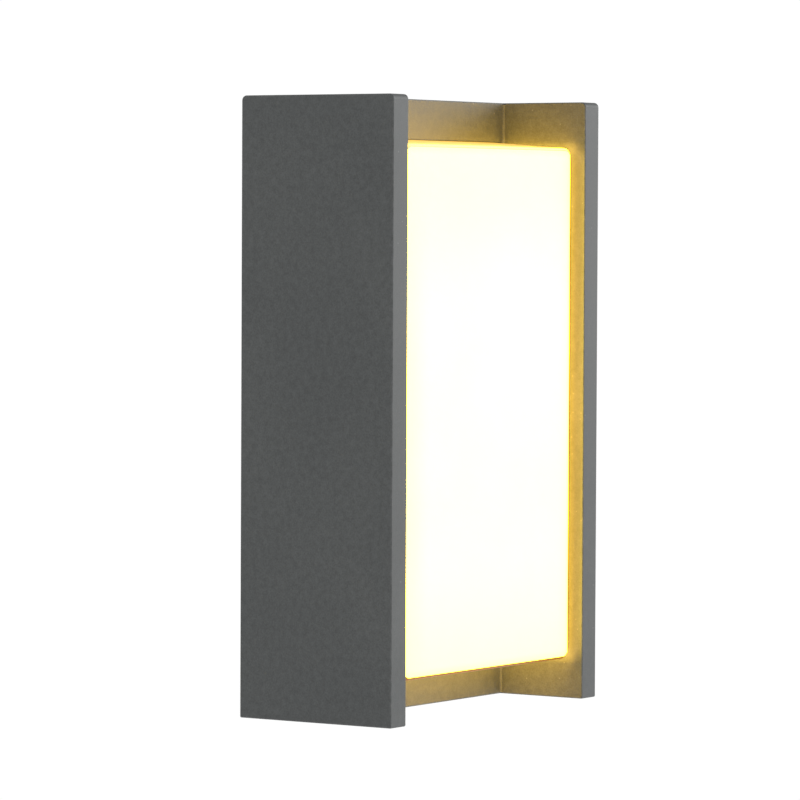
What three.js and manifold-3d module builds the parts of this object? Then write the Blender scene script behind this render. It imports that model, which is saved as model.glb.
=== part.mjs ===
// Outdoor wall lantern: two side panels, a set-back web and an opal light box.
// Millimetres. +Z is up, the wall is the plane y = 0 and the lantern looks along -Y.
import * as THREE from 'three';
import { mergeVertices } from 'three/addons/utils/BufferGeometryUtils.js';
import Module from 'manifold-3d';

const wasm = await Module();
wasm.setup();

// ---- Driving dimensions ----

// the whole lantern
const height = 240;
const width = 150;
const depth = 70;

// side panels
const panelThickness = 10.5;
const panelTopRadius = 2;
const panelBottomRadius = 0.6;
const panelEdgeRadius = 0.5;
const panelSkin = 2.5;              // wall left round the cored pockets
const panelFrontSolid = 9;          // solid metal behind the front edge
const panelRibHeight = 13;
const panelScrewSpacing = 80;
const panelScrewFromWall = 14;

// centre housing
const webSetback = 39.5;            // web face behind the front edges of the panels
const webThickness = 3;
const housingWall = 3;
const housingEdgeRadius = 0.6;
const cavityRadius = 4;
const coveRadius = 0.9;             // cove where the web meets each panel
const coveLip = 0.3;
const panelJointGap = 0.1;

// diffuser
const diffuserSideGap = 3.3;        // between the diffuser's front and each panel
const diffuserTopMargin = 18.6;     // from the lantern's top to the diffuser's front
const diffuserBottomMargin = 16.6;
const diffuserRecess = 4;           // front face behind the front edges of the panels
const diffuserRadius = 5;
const diffuserEdgeRadius = 1.2;
const diffuserWall = 2.5;
const sideDraft = 0.7;              // the base is wider than the front by this on each side
const endDraft = 2.6;               // and taller by this at each end
const diffuserBossRadius = 4;
const diffuserBossLength = 13;
const diffuserBossInset = 1;        // further in from the ends than from the sides
const diffuserEdgeSteps = 4;

// groove and gasket under the diffuser
const grooveDepth = 1.4;
const grooveClearance = 0.4;
const gasketThickness = 0.9;

// LED board and reflector
const boardSideMargin = 13.2;       // board's edges in from the diffuser's front outline
const boardEndMargin = 14.4;
const boardThickness = 1.6;
const ledColumns = 3;
const ledRows = 6;
const ledSideMargin = 18;           // outermost LEDs in from the board's edges
const ledEndMargin = 15.5;
const ledSize = 3;
const ledRise = 0.8;
const reflectorThickness = 0.5;
const ledWindow = 4.6;
const boardEdgeMargin = 4;          // screw centres from the ends of the board
const boardRadius = 2;
const wirePadEdge = 1;              // bare board left round the LED wires by the reflector
const wirePadHeight = 5;
const boardBossRise = 4;
const boardBossRadius = 3.5;

// bush for the LED wires
const bushRadius = 4;
const bushFlangeRadius = 5.6;
const bushFlange = 1.2;
const bushFlangeBevel = 0.4;
const bushSides = 16;
const ledWirePitch = 2.8;
const wireHoleSides = 8;

// LED driver
const driverEndRoom = 16.4;         // between each end of the driver and the housing's wall
const driverHeight = 38;
const driverBackGap = 3.5;          // between the driver and the bracket
const driverWall = 1.6;
const driverBossGap = 3.5;          // between the driver and the upper LED board bosses
const driverLidThickness = 1.6;
const driverLip = 2;
const driverLipWidth = 1.2;
const driverRadius = 3;
const driverRoomRadius = 1.5;
const driverRibWidth = 1.6;
const driverRibMargin = 6;
const driverRibRise = 0.5;          // ribs above and below the lid's own face
const driverBossRadius = 4.4;
const driverBoardStandoff = 3;
const driverBoardMargin = 1.5;
const mainsWireSpread = 3.2;        // wires either side of the middle of the driver's ends
const ledWireSpread = 2.4;
const wireTail = 2.6;               // wire inside the driver
const driverEarLength = 9;
const driverEarWidth = 11;
const driverEarThickness = 2.6;
const driverBoardThickness = 1.6;
const driverHeadroom = 2.2;         // over the tallest component
const standoff = 3;                 // bosses that carry the driver and the terminal block

// terminal block
const poleCount = 3;
const polePitch = 9;
const terminalWidth = 31;
const terminalHeight = 24;
const terminalBackGap = 6.5;
const terminalFromWall = 26.4;      // middle of the block from the housing's right wall
const terminalFromFloor = 60;       // and from its bottom wall
const poleChamber = 5.6;
const wireEntryRadius = 1.8;
const buttonSize = 4.8;
const buttonShoulder = 0.25;
const buttonShoulderHeight = 1.2;
const buttonOffset = 5.5;           // below the middle of the block, on the mains side
const buttonRise = 2.2;
const buttonClearance = 0.25;
const buttonLength = 6;
const contactThickness = 1;
const contactWidth = 4.6;
const terminalScrewLift = 3;
const terminalSkin = 2;
const terminalBossRadius = 3.2;
const terminalRadius = 1;
const terminalSeatDepth = 0.3;      // screw heads below the block's face
const wireEntryDepth = 6.5;         // middle of the wire entries behind the block's front face
const contactEndGap = 0.5;
const wireStopRise = 1.5;           // wire stop above the middle of the block and of the entry
const buttonRadius = 0.5;
const buttonNotch = 1;
const buttonNotchDepth = 0.6;

// wires
const mainsWireRadius = 1.2;
const ledWireRadius = 0.8;
const wireSides = 6;
const wireSegment = 3;              // length of a segment in radii of the wire
const wireBite = 1.6;               // wire end inside the earth lug, short of its top
const laneFromWall = 6.1;           // mains wires from the housing's right wall
const laneGap = 0.8;
const ledLane = 7;                  // LED wires from the driver's end

// earth point
const earthBossRadius = 4.5;
const earthFromPole = 2;            // left of the earth pole
const earthDrop = 6;                // below the middle of the gap between driver and terminals
const earthBossRise = 5;
const lugThickness = 0.8;
const lugRadius = 4.2;
const lugBarrelLength = 6.5;
const lugBarrelWall = 0.6;
const lugSides = 16;
const lugNeckShare = 0.7;           // of the barrel's width
const lugLap = 0.6;                 // the barrel starts inside the ring by this
const lugBoreFloor = 1;
const washerThickness = 0.8;
const washerRadius = 3.9;
const washerTeeth = 12;
const washerToothDepth = 0.5;

// wall bracket
const bracketWidth = 36;
const bracketThickness = 2;
const bracketEndGap = 0.4;
const bracketTab = 16;
const bracketTabWidth = 28;
const bracketBendRadius = 2.6;
const bracketSlotWidth = 5;
const bracketSlotLength = 16;
const bracketSlotSpacing = 110;
const bracketCrossSlotSpacing = 160;
const bracketShoulder = 1;          // full width kept in front of each bend
const slotFlat = 0.01;              // half of the straight part at the end of a slot
const fixingScrewFromWall = 9;

// foam gasket at the wall
const foamThickness = 1.5;
const foamEdge = 0.6;               // in from the housing's ends, and its corner radius

// fasteners
const blindFloor = 0.8;             // metal left in front of a blind screw hole in the web
const screwTipGap = 0.4;
const panelScrewBite = 6.4;
const diffuserScrewBite = 8.8;
const boardScrewBite = 5.2;
const fixingScrewEnd = 6.6;         // thread beyond the bracket's tab
const headBevelShare = 0.35;        // of the height of a screw's head
const countersunkRim = 0.2;

// clearances
const threadClearance = 0.15;
const shankClearance = 0.3;
const seatGap = 0.1;
const fitGap = 0.2;                 // between parts that slide into one another
const wireClearance = 0.3;
const caseHoleClearance = 0.5;      // round the wires in the driver and the earth lug

// ---- Values worked out from them ----

const topZ = height / 2;
const frontY = -depth;
const panelInnerX = width / 2 - panelThickness;
const housingX = panelInnerX - panelJointGap;
const cavityX = housingX - housingWall;
const cavityZ = topZ - housingWall;
const webFrontY = frontY + webSetback;
const webRearY = webFrontY + webThickness;
const rimY = -foamThickness;
const diffuserWidth = 2 * (panelInnerX - diffuserSideGap);
const diffuserHeight = height - diffuserTopMargin - diffuserBottomMargin;
const diffuserZ = (diffuserBottomMargin - diffuserTopMargin) / 2;
const diffuserFrontY = frontY + diffuserRecess;
const gasketFrontY = webFrontY + grooveDepth - seatGap - gasketThickness;
const diffuserBaseY = gasketFrontY - seatGap;
const baseWidth = diffuserWidth + 2 * sideDraft;
const baseHeight = diffuserHeight + 2 * endDraft;
const boardWidth = diffuserWidth - 2 * boardSideMargin;
const boardHeight = diffuserHeight - 2 * boardEndMargin;
const ledPitchX = (boardWidth - 2 * ledSideMargin) / (ledColumns - 1);
const ledPitchZ = (boardHeight - 2 * ledEndMargin) / (ledRows - 1);
const boardFrontY = webFrontY - seatGap - boardThickness;
const reflectorFrontY = boardFrontY - seatGap - reflectorThickness;
const panelScrewZs = [-panelScrewSpacing, 0, panelScrewSpacing];
const sides = [['left', -1], ['right', 1]];
const ends = [['top', 1], ['bottom', -1]];
const seenArcSteps = 6;
const arcSteps = 3;
const roundSides = 10;
const past = 1;                     // how far a cutting tool passes the face that it cuts
const lap = 0.2;                    // how far joined solids run into one another

const boardScrewZ = boardHeight / 2 - boardEdgeMargin;
const driverX = cavityX - driverEndRoom;
const driverHigh = diffuserZ + boardScrewZ - boardBossRadius - driverBossGap;
const driverLow = driverHigh - driverHeight;
const driverCentreZ = (driverLow + driverHigh) / 2;
const terminalCentreX = cavityX - terminalFromWall;
const terminalCentreZ = -cavityZ + terminalFromFloor;
const terminalLow = terminalCentreZ - terminalHeight / 2;
const terminalHigh = terminalCentreZ + terminalHeight / 2;
const earthX = terminalCentreX - (poleCount - 1) / 2 * polePitch - earthFromPole;
const earthZ = (driverLow + terminalHigh) / 2 - earthDrop;
const blindFloorY = webFrontY + blindFloor;
const driverRearY = webRearY + standoff;
const driverDepth = -bracketThickness - driverBackGap - driverRearY;
const driverEarTopY = driverRearY + driverEarThickness + seatGap;
const terminalDepth = -bracketThickness - terminalBackGap - driverRearY;
const terminalRearY = driverRearY + terminalDepth;
const lugY = webRearY + earthBossRise + seatGap;
const washerY = lugY + lugThickness + seatGap;
const earthSeatY = washerY + washerThickness + seatGap;

// fasteners: radius of the shank, radius and height of the head, length under the head
const panelScrew = {
  shank: 2, head: 3.6, rise: 2.3, length: seatGap + housingWall + panelJointGap + panelScrewBite,
};
const diffuserScrew = {
  shank: 1.5, head: 2.8, rise: 2, length: 2 * seatGap + webThickness + diffuserScrewBite,
};
const boardScrew = {
  shank: 1.5, head: 2.8, rise: 1.8, length: webFrontY - reflectorFrontY + seatGap + boardScrewBite,
};
const driverScrew = {
  shank: 1.6, head: 3, rise: 2, length: driverEarTopY - blindFloorY - screwTipGap,
};
const terminalHead = { head: 2.1, rise: 1.3 };
const terminalScrewSeat = terminalRearY - terminalHead.rise - terminalSeatDepth;
const terminalScrew = {
  ...terminalHead, shank: 1.2, length: terminalScrewSeat + seatGap - blindFloorY - screwTipGap,
};
const earthScrew = {
  shank: 2, head: 3.7, rise: 2.4, length: earthSeatY - blindFloorY - screwTipGap,
};
const fixingScrew = {
  shank: 2, head: 3.9, rise: 2.2, length: housingWall + bracketEndGap + bracketThickness + fixingScrewEnd,
};

// ---- Finishes ----

const finish = (color, roughness, metalness) => ({ color, roughness, metalness });
const powderCoat = finish(0x4c5254, 0.62, 0.2);
const opal = finish(0xfffbe8, 0.45, 0);
const whitePlastic = finish(0xe9e9e4, 0.5, 0);
const greyPlastic = finish(0xb9bcb8, 0.5, 0);
const orangePlastic = finish(0xd9742a, 0.45, 0);
const circuitBoard = finish(0xf0f0ea, 0.4, 0);
const greenBoard = finish(0x2c6b44, 0.45, 0);
const whiteSheet = finish(0xf6f6f3, 0.6, 0);
const zincSteel = finish(0xb7babd, 0.35, 0.9);
const stainless = finish(0xc4c6c8, 0.3, 0.95);
const tinnedCopper = finish(0xc9a27a, 0.35, 0.9);
const siliconeRubber = finish(0xd8d8d4, 0.7, 0);
const blackRubber = finish(0x26272a, 0.8, 0);
const foamRubber = finish(0x303235, 0.95, 0);

// ---- Making and cutting solids ----

const lantern = new THREE.Group();
lantern.name = 'wall_lantern';

function solid(geometry) {
  const bare = geometry.index ? geometry.toNonIndexed() : geometry.clone();
  bare.deleteAttribute('normal');
  bare.deleteAttribute('uv');
  const merged = mergeVertices(bare, 1e-5);
  return new wasm.Manifold(new wasm.Mesh({
    numProp: 3,
    vertProperties: new Float32Array(merged.attributes.position.array),
    triVerts: new Uint32Array(merged.index.array),
  }));
}

function place(name, body, look) {
  const mesh = body.getMesh();
  const geometry = new THREE.BufferGeometry();
  geometry.setAttribute('position', new THREE.BufferAttribute(mesh.vertProperties, 3));
  geometry.setIndex(new THREE.BufferAttribute(mesh.triVerts, 1));
  geometry.computeVertexNormals();
  const part = new THREE.Mesh(geometry, new THREE.MeshStandardMaterial(look));
  part.name = name;
  lantern.add(part);
}

const join = (bodies) => bodies.reduce((sum, body) => sum.add(body));
const cutAll = (body, tools) => tools.reduce((left, tool) => left.subtract(tool), body);

// box between two corners
function block(x0, x1, y0, y1, z0, z1) {
  const geometry = new THREE.BoxGeometry(x1 - x0, y1 - y0, z1 - z0);
  geometry.translate((x0 + x1) / 2, (y0 + y1) / 2, (z0 + z1) / 2);
  return solid(geometry);
}

// round bar along Y, from y0 to y1
function barY(x, z, radius, y0, y1, steps = roundSides) {
  const geometry = new THREE.CylinderGeometry(radius, radius, y1 - y0, steps);
  geometry.translate(x, (y0 + y1) / 2, z);
  return solid(geometry);
}

// round bar along X, from x0 to x1
function barX(y, z, radius, x0, x1, steps = roundSides) {
  const geometry = new THREE.CylinderGeometry(radius, radius, x1 - x0, steps);
  geometry.rotateZ(Math.PI / 2);
  geometry.translate((x0 + x1) / 2, y, z);
  return solid(geometry);
}

// round bar along Z, from z0 to z1
function barZ(x, y, radius, z0, z1, steps = roundSides) {
  const geometry = new THREE.CylinderGeometry(radius, radius, z1 - z0, steps);
  geometry.rotateX(Math.PI / 2);
  geometry.translate(x, y, (z0 + z1) / 2);
  return solid(geometry);
}

// outline of a rectangle with a radius for its upper and its lower corners
function roundedOutline(left, right, low, high, upperRadius, lowerRadius = upperRadius) {
  const shape = new THREE.Shape();
  shape.moveTo(left + lowerRadius, low);
  shape.lineTo(right - lowerRadius, low);
  shape.absarc(right - lowerRadius, low + lowerRadius, lowerRadius, -Math.PI / 2, 0, false);
  shape.lineTo(right, high - upperRadius);
  shape.absarc(right - upperRadius, high - upperRadius, upperRadius, 0, Math.PI / 2, false);
  shape.lineTo(left + upperRadius, high);
  shape.absarc(left + upperRadius, high - upperRadius, upperRadius, Math.PI / 2, Math.PI, false);
  shape.lineTo(left, low + lowerRadius);
  shape.absarc(left + lowerRadius, low + lowerRadius, lowerRadius, Math.PI, 1.5 * Math.PI, false);
  return shape;
}

// plate whose outline is drawn in X and Z, from y0 to y1
function plateY(outline, y0, y1, steps = arcSteps) {
  const geometry = new THREE.ExtrudeGeometry(outline, {
    depth: y1 - y0, bevelEnabled: false, curveSegments: steps,
  });
  geometry.rotateX(Math.PI / 2);
  geometry.translate(0, y1, 0);
  return solid(geometry);
}

// plate whose outline is drawn in Y and Z, from x0 to x1, with its two faces' edges rounded
function plateX(outline, x0, x1, edge = 0, steps = arcSteps) {
  const geometry = new THREE.ExtrudeGeometry(outline, {
    depth: x1 - x0 - 2 * edge,
    bevelEnabled: edge > 0,
    bevelThickness: edge,
    bevelSize: edge,
    bevelOffset: -edge,
    bevelSegments: 2,
    curveSegments: steps,
  });
  geometry.rotateX(Math.PI / 2);
  geometry.rotateZ(Math.PI / 2);
  geometry.translate(x0 + edge, 0, 0);
  return solid(geometry);
}

// ring of points of a rounded rectangle in X and Z, the same count for any size
function ringPoints(ringWidth, ringHeight, radius, centreZ) {
  const points = [];
  const corners = [[1, 1, 0], [-1, 1, 1], [-1, -1, 2], [1, -1, 3]];
  for (const [sideX, sideZ, quarter] of corners) {
    for (let step = 0; step <= seenArcSteps; step += 1) {
      const angle = (quarter + step / seenArcSteps) * Math.PI / 2;
      const x = sideX * (ringWidth / 2 - radius) + radius * Math.cos(angle);
      const z = centreZ + sideZ * (ringHeight / 2 - radius) + radius * Math.sin(angle);
      points.push([x, z]);
    }
  }
  return points;
}

// closed solid through rounded rectangles that follow one another from the wall to the front
function loft(sections) {
  const rings = sections.map((s) => ringPoints(s.width, s.height, s.radius, s.centreZ));
  const count = rings[0].length;
  const positions = [];
  const point = (ring, index) => {
    const [x, z] = rings[ring][index % count];
    return [x, sections[ring].y, z];
  };
  const triangle = (a, b, c) => positions.push(...a, ...b, ...c);
  for (let ring = 0; ring + 1 < rings.length; ring += 1) {
    for (let index = 0; index < count; index += 1) {
      triangle(point(ring, index), point(ring, index + 1), point(ring + 1, index));
      triangle(point(ring, index + 1), point(ring + 1, index + 1), point(ring + 1, index));
    }
  }
  const last = rings.length - 1;
  const baseCentre = [0, sections[0].y, sections[0].centreZ];
  const frontCentre = [0, sections[last].y, sections[last].centreZ];
  for (let index = 0; index < count; index += 1) {
    triangle(baseCentre, point(0, index + 1), point(0, index));
    triangle(frontCentre, point(last, index), point(last, index + 1));
  }
  const geometry = new THREE.BufferGeometry();
  geometry.setAttribute('position', new THREE.Float32BufferAttribute(positions, 3));
  return solid(geometry);
}

// screw made along Y: it points to -Y and its head is seated at y = 0
function screw(kind, countersunk = false) {
  const bevel = kind.rise * headBevelShare;
  const under = countersunk
    ? [[kind.shank, -kind.rise], [kind.head, -countersunkRim], [kind.head, 0], [0, 0]]
    : [[kind.shank, 0], [kind.head, 0], [kind.head, kind.rise - bevel],
      [kind.head - bevel, kind.rise], [0, kind.rise]];
  const profile = [[0, -kind.length], [kind.shank, -kind.length], ...under];
  const points = profile.map(([radius, y]) => new THREE.Vector2(radius, y));
  return solid(new THREE.LatheGeometry(points, roundSides));
}

// ---- Side panels ----

const pocketX = panelThickness / 2 - panelSkin;
const pocketDepth = depth - panelFrontSolid;
const panelScrewY = -panelScrewFromWall;

function sidePanel(side) {
  const inner = side * panelInnerX;
  const outer = side * width / 2;
  const low = Math.min(inner, outer);
  const outline = roundedOutline(frontY, 0, -topZ, topZ, panelTopRadius, panelBottomRadius);
  const body = plateX(outline, low, low + panelThickness, panelEdgeRadius, seenArcSteps);
  const middle = (inner + outer) / 2;
  const tools = [];
  let pocketLow = -topZ + panelSkin;
  for (const ribZ of [...panelScrewZs, topZ]) {
    const isLast = ribZ === topZ;
    const pocketHigh = isLast ? topZ - panelSkin : ribZ - panelRibHeight / 2;
    tools.push(block(middle - pocketX, middle + pocketX, -pocketDepth, past, pocketLow, pocketHigh));
    pocketLow = ribZ + panelRibHeight / 2;
  }
  const reach = panelInnerX + panelScrewBite + screwTipGap;
  const radius = panelScrew.shank + threadClearance;
  for (const z of panelScrewZs) {
    const from = side > 0 ? panelInnerX - past : -reach;
    const to = side > 0 ? reach : -panelInnerX + past;
    tools.push(barX(panelScrewY, z, radius, from, to));
  }
  return cutAll(body, tools);
}

for (const [name, side] of sides) {
  place(`${name}_side_panel`, sidePanel(side), powderCoat);
}

for (const [name, side] of sides) {
  panelScrewZs.forEach((z, index) => {
    const body = screw(panelScrew)
      .rotate([0, 0, side > 0 ? 90 : -90])
      .translate([side * (cavityX - seatGap), panelScrewY, z]);
    place(`${name}_panel_screw_${index + 1}`, body, zincSteel);
  });
}

// ---- Where things stand in and behind the web ----

const diffuserBossX = baseWidth / 2 - diffuserRadius;
const diffuserBossZ = baseHeight / 2 - diffuserRadius - diffuserBossInset;
const diffuserScrewSpots = [];
for (const z of [diffuserZ - diffuserBossZ, diffuserZ + diffuserBossZ]) {
  for (const x of [-diffuserBossX, diffuserBossX]) {
    diffuserScrewSpots.push([x, z]);
  }
}

const boardScrewSpots = [];
for (const z of [diffuserZ - boardScrewZ, diffuserZ + boardScrewZ]) {
  for (const x of [-ledPitchX / 2, ledPitchX / 2]) {
    boardScrewSpots.push([x, z]);
  }
}

const bushX = -ledPitchX;
const bushZ = diffuserZ;
const driverEarX = driverX + driverEarLength / 2;
const driverScrewSpots = [[-driverEarX, driverCentreZ], [driverEarX, driverCentreZ]];
const poleXs = [];
for (let pole = 0; pole < poleCount; pole += 1) {
  poleXs.push(terminalCentreX + (pole - (poleCount - 1) / 2) * polePitch);
}
const terminalScrewSpots = [];
for (let pole = 0; pole + 1 < poleCount; pole += 1) {
  const x = (poleXs[pole] + poleXs[pole + 1]) / 2;
  terminalScrewSpots.push([x, terminalCentreZ + terminalScrewLift]);
}

// ---- Centre housing ----

// strip in each front corner of the web, hollowed to a cove
function coveStrip(side) {
  const reach = coveRadius + coveLip;
  const shape = new THREE.Shape();
  shape.moveTo(-reach, 0);
  shape.absarc(-reach, -coveRadius, coveRadius, Math.PI / 2, 0, true);
  shape.lineTo(0, -coveRadius);
  shape.lineTo(0, lap);
  shape.lineTo(-reach, lap);
  const geometry = new THREE.ExtrudeGeometry(shape, {
    depth: height - 2 * housingEdgeRadius, bevelEnabled: false, curveSegments: seenArcSteps,
  });
  geometry.translate(housingX, webFrontY, -topZ + housingEdgeRadius);
  const strip = solid(geometry);
  return side > 0 ? strip : strip.mirror([1, 0, 0]);
}

function diffuserGroove() {
  const clear = 2 * grooveClearance;
  const inside = 2 * (diffuserWall + grooveClearance);
  const outline = (grow, radius) => {
    const halfX = (baseWidth + grow) / 2;
    const halfZ = (baseHeight + grow) / 2;
    return roundedOutline(-halfX, halfX, diffuserZ - halfZ, diffuserZ + halfZ, radius);
  };
  const outer = outline(clear, diffuserRadius + grooveClearance);
  const inner = outline(-inside, diffuserRadius - diffuserWall);
  const floorY = webFrontY + grooveDepth;
  return plateY(outer, webFrontY - past, floorY, seenArcSteps)
    .subtract(plateY(inner, webFrontY - 2 * past, floorY + past));
}

// round boss on the rear of the web
const boss = (x, z, radius, endY) => barY(x, z, radius, webRearY - lap, endY);

function centreHousing() {
  const side = roundedOutline(webFrontY, rimY, -topZ, topZ, housingEdgeRadius);
  const shell = plateX(side, -housingX, housingX);
  const hollow = roundedOutline(-cavityX, cavityX, -cavityZ, cavityZ, cavityRadius);
  let body = shell.subtract(plateY(hollow, webRearY, past));
  const bosses = [
    coveStrip(-1),
    coveStrip(1),
    ...boardScrewSpots.map(([x, z]) => boss(x, z, boardBossRadius, webRearY + boardBossRise)),
    ...driverScrewSpots.map(([x, z]) => boss(x, z, driverBossRadius, driverRearY - seatGap)),
    ...terminalScrewSpots.map(([x, z]) => boss(x, z, terminalBossRadius, driverRearY - seatGap)),
    boss(earthX, earthZ, earthBossRadius, webRearY + earthBossRise),
  ];
  body = join([body, ...bosses]);
  const tools = [diffuserGroove()];
  for (const [x, z] of diffuserScrewSpots) {
    tools.push(barY(x, z, diffuserScrew.shank + shankClearance, webFrontY - past, webRearY + past));
  }
  for (const [x, z] of boardScrewSpots) {
    const radius = boardScrew.shank + threadClearance;
    tools.push(barY(x, z, radius, webFrontY - past, webRearY + boardBossRise + past));
  }
  for (const [x, z] of driverScrewSpots) {
    tools.push(barY(x, z, driverScrew.shank + threadClearance, blindFloorY, driverRearY + past));
  }
  for (const [x, z] of terminalScrewSpots) {
    tools.push(barY(x, z, terminalScrew.shank + threadClearance, blindFloorY, driverRearY + past));
  }
  const earthTop = webRearY + earthBossRise + past;
  tools.push(barY(earthX, earthZ, earthScrew.shank + threadClearance, blindFloorY, earthTop));
  tools.push(barY(bushX, bushZ, bushRadius + fitGap, webFrontY - past, webRearY + past, bushSides));
  for (const z of panelScrewZs) {
    const radius = panelScrew.shank + shankClearance;
    tools.push(barX(panelScrewY, z, radius, cavityX - past, housingX + past));
    tools.push(barX(panelScrewY, z, radius, -housingX - past, -cavityX + past));
  }
  for (const [, end] of ends) {
    const shank = fixingScrew.shank + shankClearance;
    const head = fixingScrew.head + shankClearance;
    const seat = join([
      screw({ ...fixingScrew, shank, head }, true),
      barY(0, 0, head, -countersunkRim - seatGap / 2, past),
      barY(0, 0, shank, -fixingScrew.length - past, 0),
    ]);
    tools.push(seat.rotate([end > 0 ? 90 : -90, 0, 0])
      .translate([0, -fixingScrewFromWall, end * topZ]));
  }
  return cutAll(body, tools);
}

place('centre_housing', centreHousing(), powderCoat);

// ---- Diffuser, its gasket and its screws ----

function diffuserSection(y, inset, radius) {
  const share = (y - diffuserFrontY) / (diffuserBaseY - diffuserFrontY);
  return {
    y,
    width: diffuserWidth + 2 * sideDraft * share - 2 * inset,
    height: diffuserHeight + 2 * endDraft * share - 2 * inset,
    radius: radius - inset,
    centreZ: diffuserZ,
  };
}

function diffuser() {
  const outer = [diffuserSection(diffuserBaseY, 0, diffuserRadius)];
  for (let step = 0; step <= diffuserEdgeSteps; step += 1) {
    const angle = step / diffuserEdgeSteps * Math.PI / 2;
    const y = diffuserFrontY + diffuserEdgeRadius * (1 - Math.sin(angle));
    outer.push(diffuserSection(y, diffuserEdgeRadius * (1 - Math.cos(angle)), diffuserRadius));
  }
  const inner = [
    diffuserSection(diffuserBaseY, diffuserWall, diffuserRadius),
    diffuserSection(diffuserFrontY + diffuserWall, diffuserWall, diffuserRadius),
  ];
  inner[0].y += past;
  const shell = loft(outer).subtract(loft(inner));
  const bossRearY = webFrontY - seatGap;
  const bosses = diffuserScrewSpots.map(([x, z]) => (
    barY(x, z, diffuserBossRadius, bossRearY - diffuserBossLength, bossRearY)));
  const boreTipY = webRearY + seatGap - diffuserScrew.length - screwTipGap;
  const bores = diffuserScrewSpots.map(([x, z]) => (
    barY(x, z, diffuserScrew.shank + threadClearance, boreTipY, diffuserBaseY + past)));
  return cutAll(join([shell, ...bosses]), bores);
}

function diffuserGasket() {
  const outline = (inset, radius) => {
    const halfX = baseWidth / 2 - inset;
    const halfZ = baseHeight / 2 - inset;
    return roundedOutline(-halfX, halfX, diffuserZ - halfZ, diffuserZ + halfZ, radius);
  };
  const y1 = gasketFrontY + gasketThickness;
  const outer = plateY(outline(seatGap, diffuserRadius), gasketFrontY, y1);
  const holeOutline = outline(diffuserWall - seatGap, diffuserRadius - diffuserWall);
  const hole = plateY(holeOutline, gasketFrontY - past, y1 + past);
  return outer.subtract(hole);
}

place('diffuser', diffuser(), opal);
place('diffuser_gasket', diffuserGasket(), siliconeRubber);
diffuserScrewSpots.forEach(([x, z], index) => {
  const body = screw(diffuserScrew).translate([x, webRearY + seatGap, z]);
  place(`diffuser_screw_${index + 1}`, body, stainless);
});

// ---- LED board, reflector sheet and their screws ----

const ledSpots = [];
for (let column = 0; column < ledColumns; column += 1) {
  for (let row = 0; row < ledRows; row += 1) {
    const x = (column - (ledColumns - 1) / 2) * ledPitchX;
    const z = diffuserZ + (row - (ledRows - 1) / 2) * ledPitchZ;
    ledSpots.push([x, z]);
  }
}

function ledBoard() {
  const half = ledSize / 2;
  const outline = roundedOutline(-boardWidth / 2, boardWidth / 2,
    diffuserZ - boardHeight / 2, diffuserZ + boardHeight / 2, boardRadius);
  const board = plateY(outline, boardFrontY, boardFrontY + boardThickness);
  const leds = ledSpots.map(([x, z]) => (
    block(x - half, x + half, boardFrontY - ledRise, boardFrontY + lap, z - half, z + half)));
  const holes = boardScrewSpots.map(([x, z]) => (
    barY(x, z, boardScrew.shank + shankClearance, boardFrontY - past, webFrontY)));
  for (const side of [-1, 1]) {
    const x = bushX + side * ledWirePitch / 2;
    holes.push(barY(x, bushZ, ledWireRadius + wireClearance, boardFrontY - past, webFrontY, wireHoleSides));
  }
  return cutAll(join([board, ...leds]), holes);
}

function reflectorSheet() {
  const half = ledWindow / 2;
  const outline = roundedOutline(-boardWidth / 2, boardWidth / 2,
    diffuserZ - boardHeight / 2, diffuserZ + boardHeight / 2, boardRadius);
  const y1 = reflectorFrontY + reflectorThickness;
  const sheet = plateY(outline, reflectorFrontY, y1);
  const windows = ledSpots.map(([x, z]) => (
    block(x - half, x + half, reflectorFrontY - past, y1 + past, z - half, z + half)));
  const holes = boardScrewSpots.map(([x, z]) => (
    barY(x, z, boardScrew.shank + shankClearance, reflectorFrontY - past, y1 + past)));
  const padX = ledWirePitch / 2 + ledWireRadius + wirePadEdge;
  const padZ = wirePadHeight / 2;
  const pad = block(bushX - padX, bushX + padX, reflectorFrontY - past, y1 + past,
    bushZ - padZ, bushZ + padZ);
  return cutAll(sheet, [...windows, ...holes, pad]);
}

place('led_board', ledBoard(), circuitBoard);
place('reflector_sheet', reflectorSheet(), whiteSheet);
boardScrewSpots.forEach(([x, z], index) => {
  const body = screw(boardScrew)
    .rotate([180, 0, 0])
    .translate([x, reflectorFrontY - seatGap, z]);
  place(`led_board_screw_${index + 1}`, body, zincSteel);
});

function wireBush() {
  const flangeY = webRearY + seatGap;
  const profile = [[0, webFrontY], [bushRadius, webFrontY], [bushRadius, flangeY],
    [bushFlangeRadius, flangeY], [bushFlangeRadius - bushFlangeBevel, flangeY + bushFlange],
    [0, flangeY + bushFlange]];
  const points = profile.map(([radius, y]) => new THREE.Vector2(radius, y));
  const body = solid(new THREE.LatheGeometry(points, bushSides)).translate([bushX, 0, bushZ]);
  const bores = [-1, 1].map((side) => barY(bushX + side * ledWirePitch / 2, bushZ,
    ledWireRadius + wireClearance, webFrontY - past, webRearY + bushFlange + past, wireHoleSides));
  return cutAll(body, bores);
}

place('led_wire_bush', wireBush(), blackRubber);

// ---- LED driver ----

const driverTopY = driverRearY + driverDepth;
const driverLipY = driverTopY - driverLidThickness - driverLip;
const driverFloorY = driverRearY + driverWall;
const driverBoardY = driverFloorY + driverBoardStandoff;
const driverWireY = driverLipY - mainsWireRadius - wireClearance;
const mainsWireZs = [driverCentreZ + mainsWireSpread, driverCentreZ - mainsWireSpread];
const ledWireZs = [driverCentreZ + ledWireSpread, driverCentreZ - ledWireSpread];
const driverOutline = (inset, radius) => roundedOutline(
  -driverX + inset, driverX - inset, driverLow + inset, driverHigh - inset, radius);

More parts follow.
